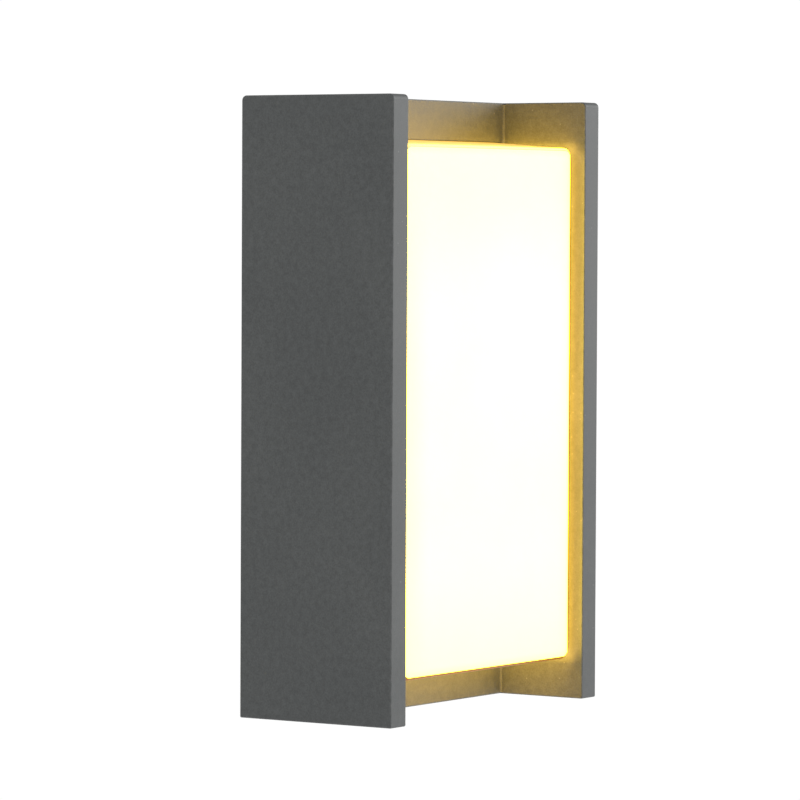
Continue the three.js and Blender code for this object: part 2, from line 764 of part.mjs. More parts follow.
function driverCase() {
  const rimTopY = driverTopY - driverLidThickness - seatGap;
  const shell = plateY(driverOutline(0, driverRadius), driverRearY, rimTopY)
    .subtract(plateY(driverOutline(driverWall, driverRoomRadius), driverFloorY, driverTopY + past));
  const ears = [-1, 1].map((side) => {
    const inner = side * (driverX - driverWall / 2);
    const outer = side * (driverX + driverEarLength);
    const shape = roundedOutline(Math.min(inner, outer), Math.max(inner, outer),
      driverCentreZ - driverEarWidth / 2, driverCentreZ + driverEarWidth / 2, driverWall / 2);
    return plateY(shape, driverRearY, driverRearY + driverEarThickness);
  });
  const tools = driverScrewSpots.map(([x, z]) => (
    barY(x, z, driverScrew.shank + shankClearance, driverRearY - past, driverEarTopY + past)));
  const wallReach = driverWall + fitGap + driverLipWidth + past;
  for (const z of mainsWireZs) {
    tools.push(barX(driverWireY, z, mainsWireRadius + caseHoleClearance, driverX - wallReach, driverX + past));
  }
  for (const z of ledWireZs) {
    tools.push(barX(driverWireY, z, ledWireRadius + caseHoleClearance, -driverX - past, -driverX + wallReach));
  }
  return cutAll(join([shell, ...ears]), tools);
}

function driverCover() {
  const lid = plateY(driverOutline(0, driverRadius), driverTopY - driverLidThickness, driverTopY);
  const lipInset = driverWall + fitGap;
  const roomInset = lipInset + driverLipWidth;
  const lipRadius = driverRoomRadius - fitGap;
  const lip = plateY(driverOutline(lipInset, lipRadius), driverLipY, driverTopY - lap)
    .subtract(plateY(driverOutline(roomInset, lipRadius), driverLipY - past, driverTopY - driverLidThickness));
  const ribs = [];
  for (const rib of [-1, 0, 1]) {
    const x = rib * driverX / 2;
    ribs.push(block(x - driverRibWidth / 2, x + driverRibWidth / 2, driverTopY - driverRibRise,
      driverTopY + driverRibRise, driverLow + driverRibMargin, driverHigh - driverRibMargin));
  }
  return join([lid, lip, ...ribs]);
}

// what stands on the driver's board: half width and half height of blocks or radius of round parts,
// centre in X and in Z from the driver's middle, and rise as a share of the room over the board
const components = [
  { halfX: 9, halfZ: 9, x: 0, z: 0, rise: 0.9 },        // transformer's winding
  { halfX: 6, halfZ: 11.5, x: 0, z: 0, rise: 1 },       // and its core
  { halfX: 4, halfZ: 2.5, x: -20, z: -5.5, rise: 0.15 },  // controller
  { radius: 5, x: 20, z: -6, rise: 1 },                 // mains capacitor
  { radius: 3.5, x: -20, z: 7, rise: 0.9 },             // output capacitor
  { radius: 3.2, x: 19, z: 8, rise: 0.5 },              // choke
];

function driverBoard() {
  const inset = driverWall + driverBoardMargin;
  const top = driverBoardY + driverBoardThickness;
  const room = driverTopY - driverLidThickness - driverHeadroom - top;
  const board = block(-driverX + inset, driverX - inset, driverBoardY, top,
    driverLow + inset, driverHigh - inset);
  const parts = components.map((part) => {
    const z = driverCentreZ + part.z;
    const y1 = top + room * part.rise;
    if (part.radius) {
      return barY(part.x, z, part.radius, top - lap, y1);
    }
    return block(part.x - part.halfX, part.x + part.halfX, top - lap, y1, z - part.halfZ, z + part.halfZ);
  });
  return join([board, ...parts]);
}

place('driver_case', driverCase(), whitePlastic);
place('driver_cover', driverCover(), whitePlastic);
place('driver_board', driverBoard(), greenBoard);
driverScrewSpots.forEach(([x, z], index) => {
  place(`driver_screw_${index + 1}`, screw(driverScrew).translate([x, driverEarTopY, z]), zincSteel);
});

// ---- Terminal block with its contacts and release buttons ----

const terminalFrontY = driverRearY;
const chamberFrontY = terminalFrontY + terminalSkin;
const chamberRearY = terminalRearY - terminalSkin;
const entryY = terminalFrontY + wireEntryDepth;
const buttonZ = terminalCentreZ - buttonOffset;
const buttonWell = buttonSize / 2 + buttonClearance;

function terminalBlock() {
  const outline = roundedOutline(terminalCentreX - terminalWidth / 2,
    terminalCentreX + terminalWidth / 2, terminalLow, terminalHigh, terminalRadius);
  const body = plateY(outline, terminalFrontY, terminalRearY);
  const tools = [];
  for (const x of poleXs) {
    const half = poleChamber / 2;
    tools.push(block(x - half, x + half, chamberFrontY, chamberRearY,
      terminalLow + terminalSkin, terminalHigh - terminalSkin));
    tools.push(barZ(x, entryY, wireEntryRadius, terminalLow - past, terminalHigh + past));
    tools.push(block(x - buttonWell, x + buttonWell, chamberRearY - past, terminalRearY + past,
      buttonZ - buttonWell, buttonZ + buttonWell));
  }
  for (const [x, z] of terminalScrewSpots) {
    const endY = terminalRearY + past;
    tools.push(barY(x, z, terminalScrew.shank + threadClearance, terminalFrontY - past, endY));
    tools.push(barY(x, z, terminalScrew.head + fitGap, terminalScrewSeat, endY));
  }
  return cutAll(body, tools);
}

// flat bar with its lamp end bent up into a stop for the wire
function terminalContact(x) {
  const half = contactWidth / 2;
  const y0 = chamberFrontY + seatGap;
  const low = terminalLow + terminalSkin + contactEndGap;
  const high = terminalHigh - terminalSkin - contactEndGap;
  const bar = block(x - half, x + half, y0, y0 + contactThickness, low, high);
  const middle = terminalCentreZ + wireStopRise;
  const stop = block(x - half, x + half, y0, entryY + wireStopRise,
    middle - contactThickness / 2, middle + contactThickness / 2);
  return bar.add(stop);
}

// push button with a grip notch outside and a shoulder that keeps it in its well
function releaseButton(x) {
  const square = (half) => roundedOutline(x - half, x + half, buttonZ - half, buttonZ + half, buttonRadius);
  const half = buttonSize / 2;
  const topY = terminalRearY + buttonRise;
  const stem = plateY(square(half), topY - buttonLength, topY);
  const shoulderY = chamberRearY - seatGap;
  const shoulder = plateY(square(half + buttonShoulder), shoulderY - buttonShoulderHeight, shoulderY);
  const notch = block(x - half - past, x + half + past, topY - buttonNotchDepth, topY + past,
    buttonZ - buttonNotch / 2, buttonZ + buttonNotch / 2);
  return stem.add(shoulder).subtract(notch);
}

const poleNames = ['earth', 'neutral', 'line'];
place('terminal_block', terminalBlock(), greyPlastic);
poleNames.forEach((pole, index) => {
  place(`${pole}_contact`, terminalContact(poleXs[index]), tinnedCopper);
  place(`${pole}_release_button`, releaseButton(poleXs[index]), orangePlastic);
});
terminalScrewSpots.forEach(([x, z], index) => {
  const body = screw(terminalScrew).translate([x, terminalScrewSeat + seatGap, z]);
  place(`terminal_screw_${index + 1}`, body, zincSteel);
});

// ---- Earth point ----

const lugBarrelRadius = mainsWireRadius + caseHoleClearance + lugBarrelWall;
const lugBarrelY = lugY + lugBarrelRadius;
const lugBarrelTop = earthZ - lugRadius + lugLap;
const lugBarrelLow = lugBarrelTop - lugBarrelLength;
const earthHoleRadius = earthScrew.shank + shankClearance;

function earthLug() {
  const topY = lugY + lugThickness;
  const neckX = lugBarrelRadius * lugNeckShare;
  const ring = barY(earthX, earthZ, lugRadius, lugY, topY, lugSides);
  const neck = block(earthX - neckX, earthX + neckX, lugY, topY, lugBarrelTop - past, earthZ - lugRadius / 2);
  const barrel = barZ(earthX, lugBarrelY, lugBarrelRadius, lugBarrelLow, lugBarrelTop);
  const bore = barZ(earthX, lugBarrelY, mainsWireRadius + caseHoleClearance,
    lugBarrelLow - past, lugBarrelTop - lugBoreFloor);
  const hole = barY(earthX, earthZ, earthHoleRadius, lugY - past, topY + past);
  const barrelRearY = lugBarrelY + lugBarrelRadius;
  const room = barY(earthX, earthZ, lugRadius + 2 * fitGap, topY, barrelRearY + past, lugSides);
  return cutAll(join([ring, neck, barrel]), [bore, hole, room]);
}

function earthWasher() {
  const shape = new THREE.Shape();
  for (let tooth = 0; tooth < washerTeeth * 2; tooth += 1) {
    const radius = tooth % 2 === 0 ? washerRadius : washerRadius - washerToothDepth;
    const angle = tooth * Math.PI / washerTeeth;
    const x = earthX + radius * Math.cos(angle);
    const z = earthZ + radius * Math.sin(angle);
    if (tooth === 0) {
      shape.moveTo(x, z);
    } else {
      shape.lineTo(x, z);
    }
  }
  const hole = barY(earthX, earthZ, earthHoleRadius, washerY - past, washerY + washerThickness + past);
  return plateY(shape, washerY, washerY + washerThickness).subtract(hole);
}

place('earth_lug', earthLug(), tinnedCopper);
place('earth_washer', earthWasher(), stainless);
place('earth_screw', screw(earthScrew).translate([earthX, earthSeatY, earthZ]), zincSteel);

// ---- Internal wires ----

function wire(points, radius) {
  const path = new THREE.CatmullRomCurve3(points.map((p) => new THREE.Vector3(...p)), false, 'centripetal');
  const section = new THREE.Shape();
  for (let corner = 0; corner < wireSides; corner += 1) {
    const angle = corner / wireSides * 2 * Math.PI;
    const at = [radius * Math.cos(angle), radius * Math.sin(angle)];
    if (corner === 0) {
      section.moveTo(...at);
    } else {
      section.lineTo(...at);
    }
  }
  const steps = Math.round(path.getLength() / (wireSegment * radius));
  return solid(new THREE.ExtrudeGeometry(section, {
    steps, extrudePath: path, bevelEnabled: false,
  }));
}

// line and neutral go up beside the right wall and turn into the driver's end
function mainsWire(pole, index) {
  const lane = cavityX - laneFromWall - index * (2 * mainsWireRadius + laneGap);
  const run = lane - driverX;
  const endZ = mainsWireZs[index];
  const startX = poleXs[pole];
  return wire([
    [startX, entryY, terminalHigh - terminalSkin],
    [startX, entryY, terminalHigh + 4],
    [startX + (lane - startX) * 0.5, entryY, terminalHigh + 11],
    [lane, entryY + 1, terminalHigh + 24],
    [lane, driverWireY - 1, driverLow - 12],
    [lane, driverWireY, endZ - 7],
    [driverX + run * 0.85, driverWireY, endZ - 2.4],
    [driverX + run * 0.5, driverWireY, endZ - 0.3],
    [driverX + run * 0.22, driverWireY, endZ],
    [driverX, driverWireY, endZ],
    [driverX - wireTail, driverWireY, endZ],
  ], mainsWireRadius);
}

// plus and minus come out of the driver's other end, go down and through the web
function ledWire(index) {
  const side = index === 0 ? -1 : 1;
  const startZ = ledWireZs[index];
  const lane = -driverX - ledLane + side * ledWirePitch / 2;
  const lift = index * ledWirePitch;
  const endX = bushX + side * ledWirePitch / 2;
  return wire([
    [-driverX + wireTail, driverWireY, startZ],
    [-driverX - 2, driverWireY, startZ],
    [lane + 1.5, driverWireY, startZ - 2.4],
    [lane, driverWireY, startZ - 9],
    [lane + 1, driverWireY - 2, driverLow - 6],
    [lane + 12, webRearY + 8 + lift, bushZ + 4],
    [endX - 6, webRearY + 7 + lift, bushZ + 0.8],
    [endX - 1.2, webRearY + 5.2 + lift, bushZ],
    [endX, webRearY + 2.6, bushZ],
    [endX, webRearY, bushZ],
    [endX, boardFrontY - 0.8, bushZ],
  ], ledWireRadius);
}

place('line_wire', mainsWire(2, 0), finish(0x6b4226, 0.5, 0));
place('neutral_wire', mainsWire(1, 1), finish(0x2b5fa8, 0.5, 0));
const earthRun = lugBarrelLow - terminalHigh;
place('earth_wire', wire([
  [poleXs[0], entryY, terminalHigh - terminalSkin],
  [poleXs[0], entryY, terminalHigh + earthRun * 0.15],
  [poleXs[0] + 0.6, entryY + 0.8, terminalHigh + earthRun * 0.35],
  [earthX, lugBarrelY, terminalHigh + earthRun * 0.85],
  [earthX, lugBarrelY, lugBarrelLow],
  [earthX, lugBarrelY, lugBarrelTop - wireBite],
], mainsWireRadius), finish(0x7fae3a, 0.5, 0));
place('led_plus_wire', ledWire(0), finish(0xb3261e, 0.5, 0));
place('led_minus_wire', ledWire(1), finish(0x202124, 0.5, 0));

// ---- Wall bracket, its screws and the foam gasket ----

const bracketEnd = cavityZ - bracketEndGap;

// channel profile: a strap against the wall with both ends bent forward
function bracketProfile() {
  const outer = bracketBendRadius;
  const inner = bracketBendRadius - bracketThickness;
  const shape = new THREE.Shape();
  shape.moveTo(-bracketTab, bracketEnd);
  shape.lineTo(-outer, bracketEnd);
  shape.absarc(-outer, bracketEnd - outer, outer, Math.PI / 2, 0, true);
  shape.lineTo(0, -bracketEnd + outer);
  shape.absarc(-outer, -bracketEnd + outer, outer, 0, -Math.PI / 2, true);
  shape.lineTo(-bracketTab, -bracketEnd);
  shape.lineTo(-bracketTab, -bracketEnd + bracketThickness);
  shape.lineTo(-outer, -bracketEnd + bracketThickness);
  shape.absarc(-outer, -bracketEnd + outer, inner, -Math.PI / 2, 0, false);
  shape.lineTo(-bracketThickness, bracketEnd - outer);
  shape.absarc(-outer, bracketEnd - outer, inner, 0, Math.PI / 2, false);
  shape.lineTo(-bracketTab, bracketEnd - bracketThickness);
  return shape;
}

function slot(x, z, length, slotWidth, upright) {
  const halfX = upright ? slotWidth / 2 : length / 2;
  const halfZ = upright ? length / 2 : slotWidth / 2;
  const radius = slotWidth / 2 - slotFlat;
  const outline = roundedOutline(x - halfX, x + halfX, z - halfZ, z + halfZ, radius);
  return plateY(outline, -bracketThickness - past, past);
}

function wallBracket() {
  const half = bracketWidth / 2;
  const shoulder = (bracketWidth - bracketTabWidth) / 2;
  const tools = [];
  for (const [, end] of ends) {
    tools.push(slot(0, end * bracketSlotSpacing / 2, bracketSlotLength, bracketSlotWidth, true));
    tools.push(slot(0, end * bracketCrossSlotSpacing / 2, bracketSlotLength, bracketSlotWidth, false));
    const [low, high] = [-1, 1].map((face) => end * bracketEnd + face * (bracketThickness + past));
    tools.push(barZ(0, -fixingScrewFromWall, fixingScrew.shank + threadClearance, low, high));
    for (const side of [-1, 1]) {
      const [x0, x1] = [half - shoulder, half + past].map((x) => side * x).sort((a, b) => a - b);
      tools.push(block(x0, x1, -bracketTab - past, -bracketBendRadius - bracketShoulder, low, high));
    }
  }
  return cutAll(plateX(bracketProfile(), -half, half), tools);
}

function foamGasket() {
  const outer = roundedOutline(-housingX, housingX, -topZ + foamEdge, topZ - foamEdge, foamEdge);
  const hole = roundedOutline(-cavityX, cavityX, -cavityZ, cavityZ, cavityRadius);
  const y0 = rimY + seatGap;
  return plateY(outer, y0, 0).subtract(plateY(hole, y0 - past, past));
}

place('wall_bracket', wallBracket(), zincSteel);
for (const [name, end] of ends) {
  const body = screw(fixingScrew, true)
    .rotate([end > 0 ? 90 : -90, 0, 0])
    .translate([0, -fixingScrewFromWall, end * (topZ - seatGap)]);
  place(`${name}_fixing_screw`, body, stainless);
}
place('wall_gasket', foamGasket(), foamRubber);

export default lantern;
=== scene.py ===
import math

import bmesh
import bpy
from mathutils import Matrix, Vector


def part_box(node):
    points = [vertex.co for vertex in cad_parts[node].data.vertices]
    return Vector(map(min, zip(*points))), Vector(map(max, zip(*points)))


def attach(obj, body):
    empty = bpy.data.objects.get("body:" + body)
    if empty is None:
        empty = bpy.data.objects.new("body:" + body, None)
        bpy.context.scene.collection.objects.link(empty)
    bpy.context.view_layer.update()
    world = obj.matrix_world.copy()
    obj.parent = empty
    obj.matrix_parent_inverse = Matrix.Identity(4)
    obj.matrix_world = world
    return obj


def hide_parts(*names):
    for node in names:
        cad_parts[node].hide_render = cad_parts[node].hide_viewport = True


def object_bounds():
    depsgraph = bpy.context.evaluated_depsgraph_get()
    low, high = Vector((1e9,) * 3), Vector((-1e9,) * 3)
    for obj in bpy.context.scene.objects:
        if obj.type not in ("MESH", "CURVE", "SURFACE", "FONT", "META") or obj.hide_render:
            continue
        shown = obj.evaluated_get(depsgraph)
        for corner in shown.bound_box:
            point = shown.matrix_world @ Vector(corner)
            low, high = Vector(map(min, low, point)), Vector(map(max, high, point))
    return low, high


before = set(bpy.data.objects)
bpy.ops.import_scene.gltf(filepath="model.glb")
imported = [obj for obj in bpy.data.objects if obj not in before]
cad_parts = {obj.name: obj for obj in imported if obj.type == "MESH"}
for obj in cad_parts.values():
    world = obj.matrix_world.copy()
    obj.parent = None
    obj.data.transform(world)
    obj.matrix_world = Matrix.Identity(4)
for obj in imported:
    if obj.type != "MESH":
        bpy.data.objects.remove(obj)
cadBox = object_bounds()

# Outdoor wall lantern. Shapes are drawn in millimetres and scaled to metres when a mesh is made.
# The wall is the plane y = 0, the lantern looks along -Y and +Z is up.
mm = 0.001
past = 1  # how far a tool reaches past the face that it cuts
sharpAngle = 40  # edges sharper than this are rounded by soften
weldDistance = 1e-7
lanternBody = "lantern"
axisPlaces = {
    "x": lambda u, v, w: (w, u, v),
    "y": lambda u, v, w: (u, w, v),
    "z": lambda u, v, w: (u, v, w),
}


def nodeBox(node):
    low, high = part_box(node)
    return Vector(low) / mm, Vector(high) / mm


def nodeCentre(node):
    low, high = nodeBox(node)
    return (low + high) / 2


def objectFrom(name, data):
    obj = bpy.data.objects.new(name, data)
    bpy.context.scene.collection.objects.link(obj)
    return obj


def meshFrom(name, shape):
    mesh = bpy.data.meshes.new(name)
    shape.to_mesh(mesh)
    shape.free()
    return objectFrom(name, mesh)


def fromBmesh(name, shape):
    bmesh.ops.recalc_face_normals(shape, faces=shape.faces)
    for vertex in shape.verts:
        vertex.co *= mm
    return meshFrom(name, shape)


def roundedOutline(left, right, low, high, upper, lower=None, steps=8):
    # counterclockwise, with a radius for the two upper and the two lower corners
    lower = upper if lower is None else lower
    corners = [
        (right - lower, low + lower, lower, -90),
        (right - upper, high - upper, upper, 0),
        (left + upper, high - upper, upper, 90),
        (left + lower, low + lower, lower, 180),
    ]
    points = []
    for u, v, radius, start in corners:
        points += arcPoints((u, v), radius, start, start + 90, steps)
    return points


def arcPoints(centre, radius, start, end, steps):
    points = []
    for step in range(steps + 1):
        angle = math.radians(start + (end - start) * step / steps)
        points.append((centre[0] + radius * math.cos(angle), centre[1] + radius * math.sin(angle)))
    return points


def insetOutline(low, high, inset, radius):
    # a box's outline in X and Z, that far inside it
    return roundedOutline(low.x + inset, high.x - inset, low.z + inset, high.z - inset, radius)


def centredOutline(x, z, halfX, halfZ, radius, steps=8):
    return roundedOutline(x - halfX, x + halfX, z - halfZ, z + halfZ, radius, steps=steps)


def bridge(shape, one, two):
    # the faces between two rings with as many vertices
    for index in range(len(one)):
        after = (index + 1) % len(one)
        shape.faces.new((one[index], one[after], two[after], two[index]))


def loft(name, axis, near, start, far, end):
    # closed bar along the axis, from one outline to the other
    place = axisPlaces[axis]
    shape = bmesh.new()
    first = [shape.verts.new(place(u, v, start)) for u, v in near]
    last = [shape.verts.new(place(u, v, end)) for u, v in far]
    shape.faces.new(first)
    shape.faces.new(list(reversed(last)))
    bridge(shape, first, last)
    return fromBmesh(name, shape)


def prism(name, axis, outline, start, end):
    return loft(name, axis, outline, start, outline, end)


def block(name, low, high):
    # plain block between two corners
    corners = [(low[0], low[2]), (high[0], low[2]), (high[0], high[2]), (low[0], high[2])]
    return prism(name, "y", corners, low[1], high[1])


def turned(name, profile, axis="y", at=(0, 0), steps=32):
    # solid turned from a profile of (radius, place along the axis)
    place = axisPlaces[axis]
    shape = bmesh.new()
    rings = []
    for radius, along in profile:
        count = steps if radius > 0 else 1
        ring = []
        for step in range(count):
            angle = 2 * math.pi * step / count
            u = at[0] + radius * math.cos(angle)
            v = at[1] + radius * math.sin(angle)
            ring.append(shape.verts.new(place(u, v, along)))
        rings.append(ring)
    for one, two in zip(rings, rings[1:]):
        for step in range(steps):
            after = (step + 1) % steps
            corners = [one[step % len(one)], one[after % len(one)]]
            corners += [two[after % len(two)], two[step % len(two)]]
            kept = [vertex for index, vertex in enumerate(corners) if vertex not in corners[:index]]
            if len(kept) > 2:
                shape.faces.new(kept)
    return fromBmesh(name, shape)


def rod(axis, at, radius, start, end, steps=24):
    return turned("rod", [(0, start), (radius, start), (radius, end), (0, end)], axis, at, steps)


def screwSpots(nodes):
    return [(centre.x, centre.z) for centre in map(nodeCentre, nodes)]


def rodsAt(nodes, radius, start, end, steps=24):
    # a rod along Y at the centre of each of these nodes
    return [rod("y", spot, radius, start, end, steps) for spot in screwSpots(nodes)]


def spacedOut(count, pitch):
    # places at that pitch, as many on each side of 0
    return [(index - (count - 1) / 2) * pitch for index in range(count)]


def joined(name, objects):
    shape = bmesh.new()
    for obj in objects:
        shape.from_mesh(obj.data)
        discard(obj)
    return meshFrom(name, shape)


def discard(obj):
    mesh = obj.data
    bpy.data.objects.remove(obj)
    bpy.data.meshes.remove(mesh)


def applyModifiers(obj):
    graph = bpy.context.evaluated_depsgraph_get()
    graph.update()
    evaluated = obj.evaluated_get(graph)
    mesh = bpy.data.meshes.new_from_object(evaluated, preserve_all_data_layers=True, depsgraph=graph)
    obj.modifiers.clear()
    old = obj.data
    obj.data = mesh
    bpy.data.meshes.remove(old)


def combine(obj, tools, operation="DIFFERENCE"):
    # every tool is cut from the object, or joined to it, in one go
    tool = joined("tool", tools)
    modifier = obj.modifiers.new("combine", "BOOLEAN")
    modifier.operation = operation
    modifier.solver = "EXACT"
    modifier.use_self = True
    modifier.object = tool
    applyModifiers(obj)
    discard(tool)
    return obj


def soften(obj, width, segments=3):
    # rounds every sharp edge
    modifier = obj.modifiers.new("soften", "BEVEL")
    modifier.limit_method = "ANGLE"
    modifier.angle_limit = math.radians(sharpAngle)
    modifier.width = width * mm
    modifier.segments = segments
    applyModifiers(obj)
    return obj


def gasketFrame(name, node, shape):
    # flat frame as large as its CAD node, with softened edges
    low, high = nodeBox(node)
    ring = prism(name, "y", insetOutline(low, high, 0, shape["outerRadius"]), low.y, high.y)
    inner = insetOutline(low, high, shape["width"], shape["innerRadius"])
    combine(ring, [prism("opening", "y", inner, low.y - past, high.y + past)])
    return soften(ring, shape["edge"], 2)


def dress(obj, material, nodes, slot=None, body=lanternBody, smooth=34):
    # last step of a piece: clean mesh, shading, finish, and what it stands for
    shape = bmesh.new()
    shape.from_mesh(obj.data)
    bmesh.ops.remove_doubles(shape, verts=shape.verts, dist=weldDistance)
    bmesh.ops.dissolve_degenerate(shape, edges=shape.edges, dist=weldDistance)
    shape.to_mesh(obj.data)
    shape.free()
    obj.data.polygons.foreach_set("use_smooth", [True] * len(obj.data.polygons))
    obj.data.set_sharp_from_angle(angle=math.radians(smooth))
    weighted = obj.modifiers.new("weighted", "WEIGHTED_NORMAL")
    weighted.keep_sharp = True
    applyModifiers(obj)
    obj.data.name = obj.name
    if material is not None:
        obj.data.materials.clear()
        obj.data.materials.append(material)
    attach(obj, body)
    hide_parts(*nodes)
    return obj


def coatCadNode(node, material):
    # a CAD mesh that stays in the scene gets a new finish
    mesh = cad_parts[node].data
    mesh.materials.clear()
    mesh.materials.append(material)


def newTree(name, inputs):
    # Geometry Nodes group with inputs of these kinds, returned with the sockets of its two ends
    tree = bpy.data.node_groups.new(name, "GeometryNodeTree")
    for label, kind in {"Geometry": "Geometry", **inputs, "Finish": "Material"}.items():
        tree.interface.new_socket(label, in_out="INPUT", socket_type="NodeSocket" + kind)
    tree.interface.new_socket("Geometry", in_out="OUTPUT", socket_type="NodeSocketGeometry")
    return tree, tree.nodes.new("NodeGroupInput").outputs, tree.nodes.new("NodeGroupOutput").inputs


def addNode(tree, kind, values=None, **settings):
    # a node with its settings, and each input linked to a socket or set to a value
    node = tree.nodes.new(kind)
    for key, value in settings.items():
        setattr(node, key, value)
    for key, value in (values or {}).items():
        if isinstance(value, bpy.types.NodeSocket):
            tree.links.new(value, node.inputs[key])
        else:
            node.inputs[key].default_value = value
    return node


def copiesOn(tree, start, points, rotation):
    piece = addNode(tree, "GeometryNodeObjectInfo", {"Object": start["Piece"]})
    copies = addNode(tree, "GeometryNodeInstanceOnPoints", {
        "Points": points, "Instance": piece.outputs["Geometry"], "Rotation": rotation,
    })
    return copies.outputs["Instances"]


def closeTree(tree, start, end, geometry):
    # makes the copies real and gives them the finish
    real = addNode(tree, "GeometryNodeRealizeInstances", {"Geometry": geometry})
    coated = addNode(tree, "GeometryNodeSetMaterial", {
        "Geometry": real.outputs["Geometry"], "Material": start["Finish"],
    })
    tree.links.new(coated.outputs["Geometry"], end["Geometry"])
    return tree


def runTree(obj, tree, values):
    # sets the modifier's inputs by identifier and turns the result into a plain mesh
    modifier = obj.modifiers.new(tree.name, "NODES")
    modifier.node_group = tree
    for item in tree.interface.items_tree:
        if item.item_type == "SOCKET" and item.in_out == "INPUT" and item.name in values:
            modifier[item.identifier] = values[item.name]
    obj.update_tag()
    graph = bpy.context.evaluated_depsgraph_get()
    graph.update()
    mesh = bpy.data.meshes.new_from_object(obj.evaluated_get(graph), depsgraph=graph)
    name = obj.name
    bpy.data.objects.remove(obj)
    made = objectFrom(name, mesh)
    mesh.name = name
    return made


def placingTree():
    # puts a copy of one piece on each point, turned so that its Z follows the point's own axis
    tree, start, end = newTree("placeOnPoints", {"Piece": "Object"})
    axis = addNode(tree, "GeometryNodeInputNamedAttribute", {"Name": "axis"}, data_type="FLOAT_VECTOR")
    turn = addNode(tree, "FunctionNodeAlignRotationToVector", {"Vector": axis.outputs[0]}, axis="Z")
    return closeTree(tree, start, end, copiesOn(tree, start, start["Geometry"], turn.outputs["Rotation"]))


def gridTree():
    # rows and columns of one piece on a board that faces -Y
    facing = (math.pi / 2, 0, 0)
    tree, start, end = newTree("placeInRows", {
        "Piece": "Object", "Columns": "Int", "Rows": "Int", "Width": "Float", "Height": "Float",
        "Centre": "Vector",
    })
    grid = addNode(tree, "GeometryNodeMeshGrid", {
        "Size X": start["Width"], "Size Y": start["Height"],
        "Vertices X": start["Columns"], "Vertices Y": start["Rows"],
    })
    upright = addNode(tree, "GeometryNodeTransform", {
        "Geometry": grid.outputs["Mesh"], "Translation": start["Centre"], "Rotation": facing,
    })
    return closeTree(tree, start, end, copiesOn(tree, start, upright.outputs["Geometry"], facing))


def wireTree():
    # round wire along a curve; "side" runs from -1 to 1 round it, for a stripe
    tree, start, end = newTree("wireAlongCurve", {"Radius": "Float", "Step": "Float", "Sides": "Int"})
    even = addNode(tree, "GeometryNodeResampleCurve", {
        "Curve": start["Geometry"], "Length": start["Step"],
    }, mode="LENGTH")
    circle = addNode(tree, "GeometryNodeCurvePrimitiveCircle", {
        "Resolution": start["Sides"], "Radius": start["Radius"],
    })
    across = split(tree, addNode(tree, "GeometryNodeInputPosition").outputs["Position"])["X"]
    marked = addNode(tree, "GeometryNodeStoreNamedAttribute", {
        "Geometry": circle.outputs["Curve"], "Name": "side",
        "Value": maths(tree, "DIVIDE", across, start["Radius"]),
    }, data_type="FLOAT", domain="POINT")
    tube = addNode(tree, "GeometryNodeCurveToMesh", {
        "Curve": even.outputs["Curve"], "Profile Curve": marked.outputs["Geometry"], "Fill Caps": True,
    })
    return closeTree(tree, start, end, tube.outputs["Mesh"])


def newShaderGroup(name, inputs, outputs):
    # takes a place and these vectors or numbers, gives numbers; returned with the sockets of its two ends
    group = bpy.data.node_groups.new(name, "ShaderNodeTree")
    for label, value in {"Vector": (0, 0, 0), **inputs}.items():
        kind = "NodeSocketVector" if isinstance(value, tuple) else "NodeSocketFloat"
        group.interface.new_socket(label, in_out="INPUT", socket_type=kind).default_value = value
    for label in outputs:
        group.interface.new_socket(label, in_out="OUTPUT", socket_type="NodeSocketFloat")
    return group, group.nodes.new("NodeGroupInput").outputs, group.nodes.new("NodeGroupOutput").inputs


def maths(tree, operation, one, two=0.0):
    return addNode(tree, "ShaderNodeMath", {0: one, 1: two}, operation=operation).outputs[0]


def vectorMaths(tree, operation, one, two=(0, 0, 0)):
    return addNode(tree, "ShaderNodeVectorMath", {0: one, 1: two}, operation=operation).outputs[0]


def scaled(tree, vector, factor):
    return addNode(tree, "ShaderNodeVectorMath", {0: vector, "Scale": factor}, operation="SCALE").outputs[0]


def split(tree, vector):
    return addNode(tree, "ShaderNodeSeparateXYZ", {"Vector": vector}).outputs


def remap(tree, value, fromLow, fromHigh, toLow, toHigh, kind="LINEAR"):
    return addNode(tree, "ShaderNodeMapRange", {
        "Value": value, "From Min": fromLow, "From Max": fromHigh, "To Min": toLow, "To Max": toHigh,
    }, interpolation_type=kind).outputs["Result"]


def fade(tree, value, full, end):
    # soft mask that is 1 up to full and 0 from end on
    return remap(tree, value, full, end, 1.0, 0.0, "SMOOTHSTEP")


def spread(tree, value, toLow=0.0, toHigh=1.0, half=0.2):
    # noise lies round 0.5: the stretch that far to both sides of it is widened to the new range
    return remap(tree, value, 0.5 - half, 0.5 + half, toLow, toHigh)


def noise(tree, place, scale, detail, roughness=0.5, distortion=0.0):
    return addNode(tree, "ShaderNodeTexNoise", {
        "Vector": place, "Scale": scale, "Detail": detail, "Roughness": roughness, "Distortion": distortion,
    }).outputs["Fac"]


def blendColour(tree, factor, one, two):
    return addNode(tree, "ShaderNodeMix", {0: factor, 6: one, 7: two}, data_type="RGBA").outputs[2]


def over(tree, mask, share, under, top):
    # the top colour shows by that share of the mask
    return blendColour(tree, maths(tree, "MULTIPLY", mask, share), under, top)


grainShape = {
    "fineDetail": 3, "fineRoughness": 0.6, "coarseSize": 0.22, "coarseDetail": 2, "coarseShare": 0.35,
    "cloudSize": 16, "cloudDetail": 4, "cloudRoughness": 0.55, "cloudDistortion": 0.4, "speckSize": 700,
    "speckFull": 0.12, "speckEnd": 0.34,
}


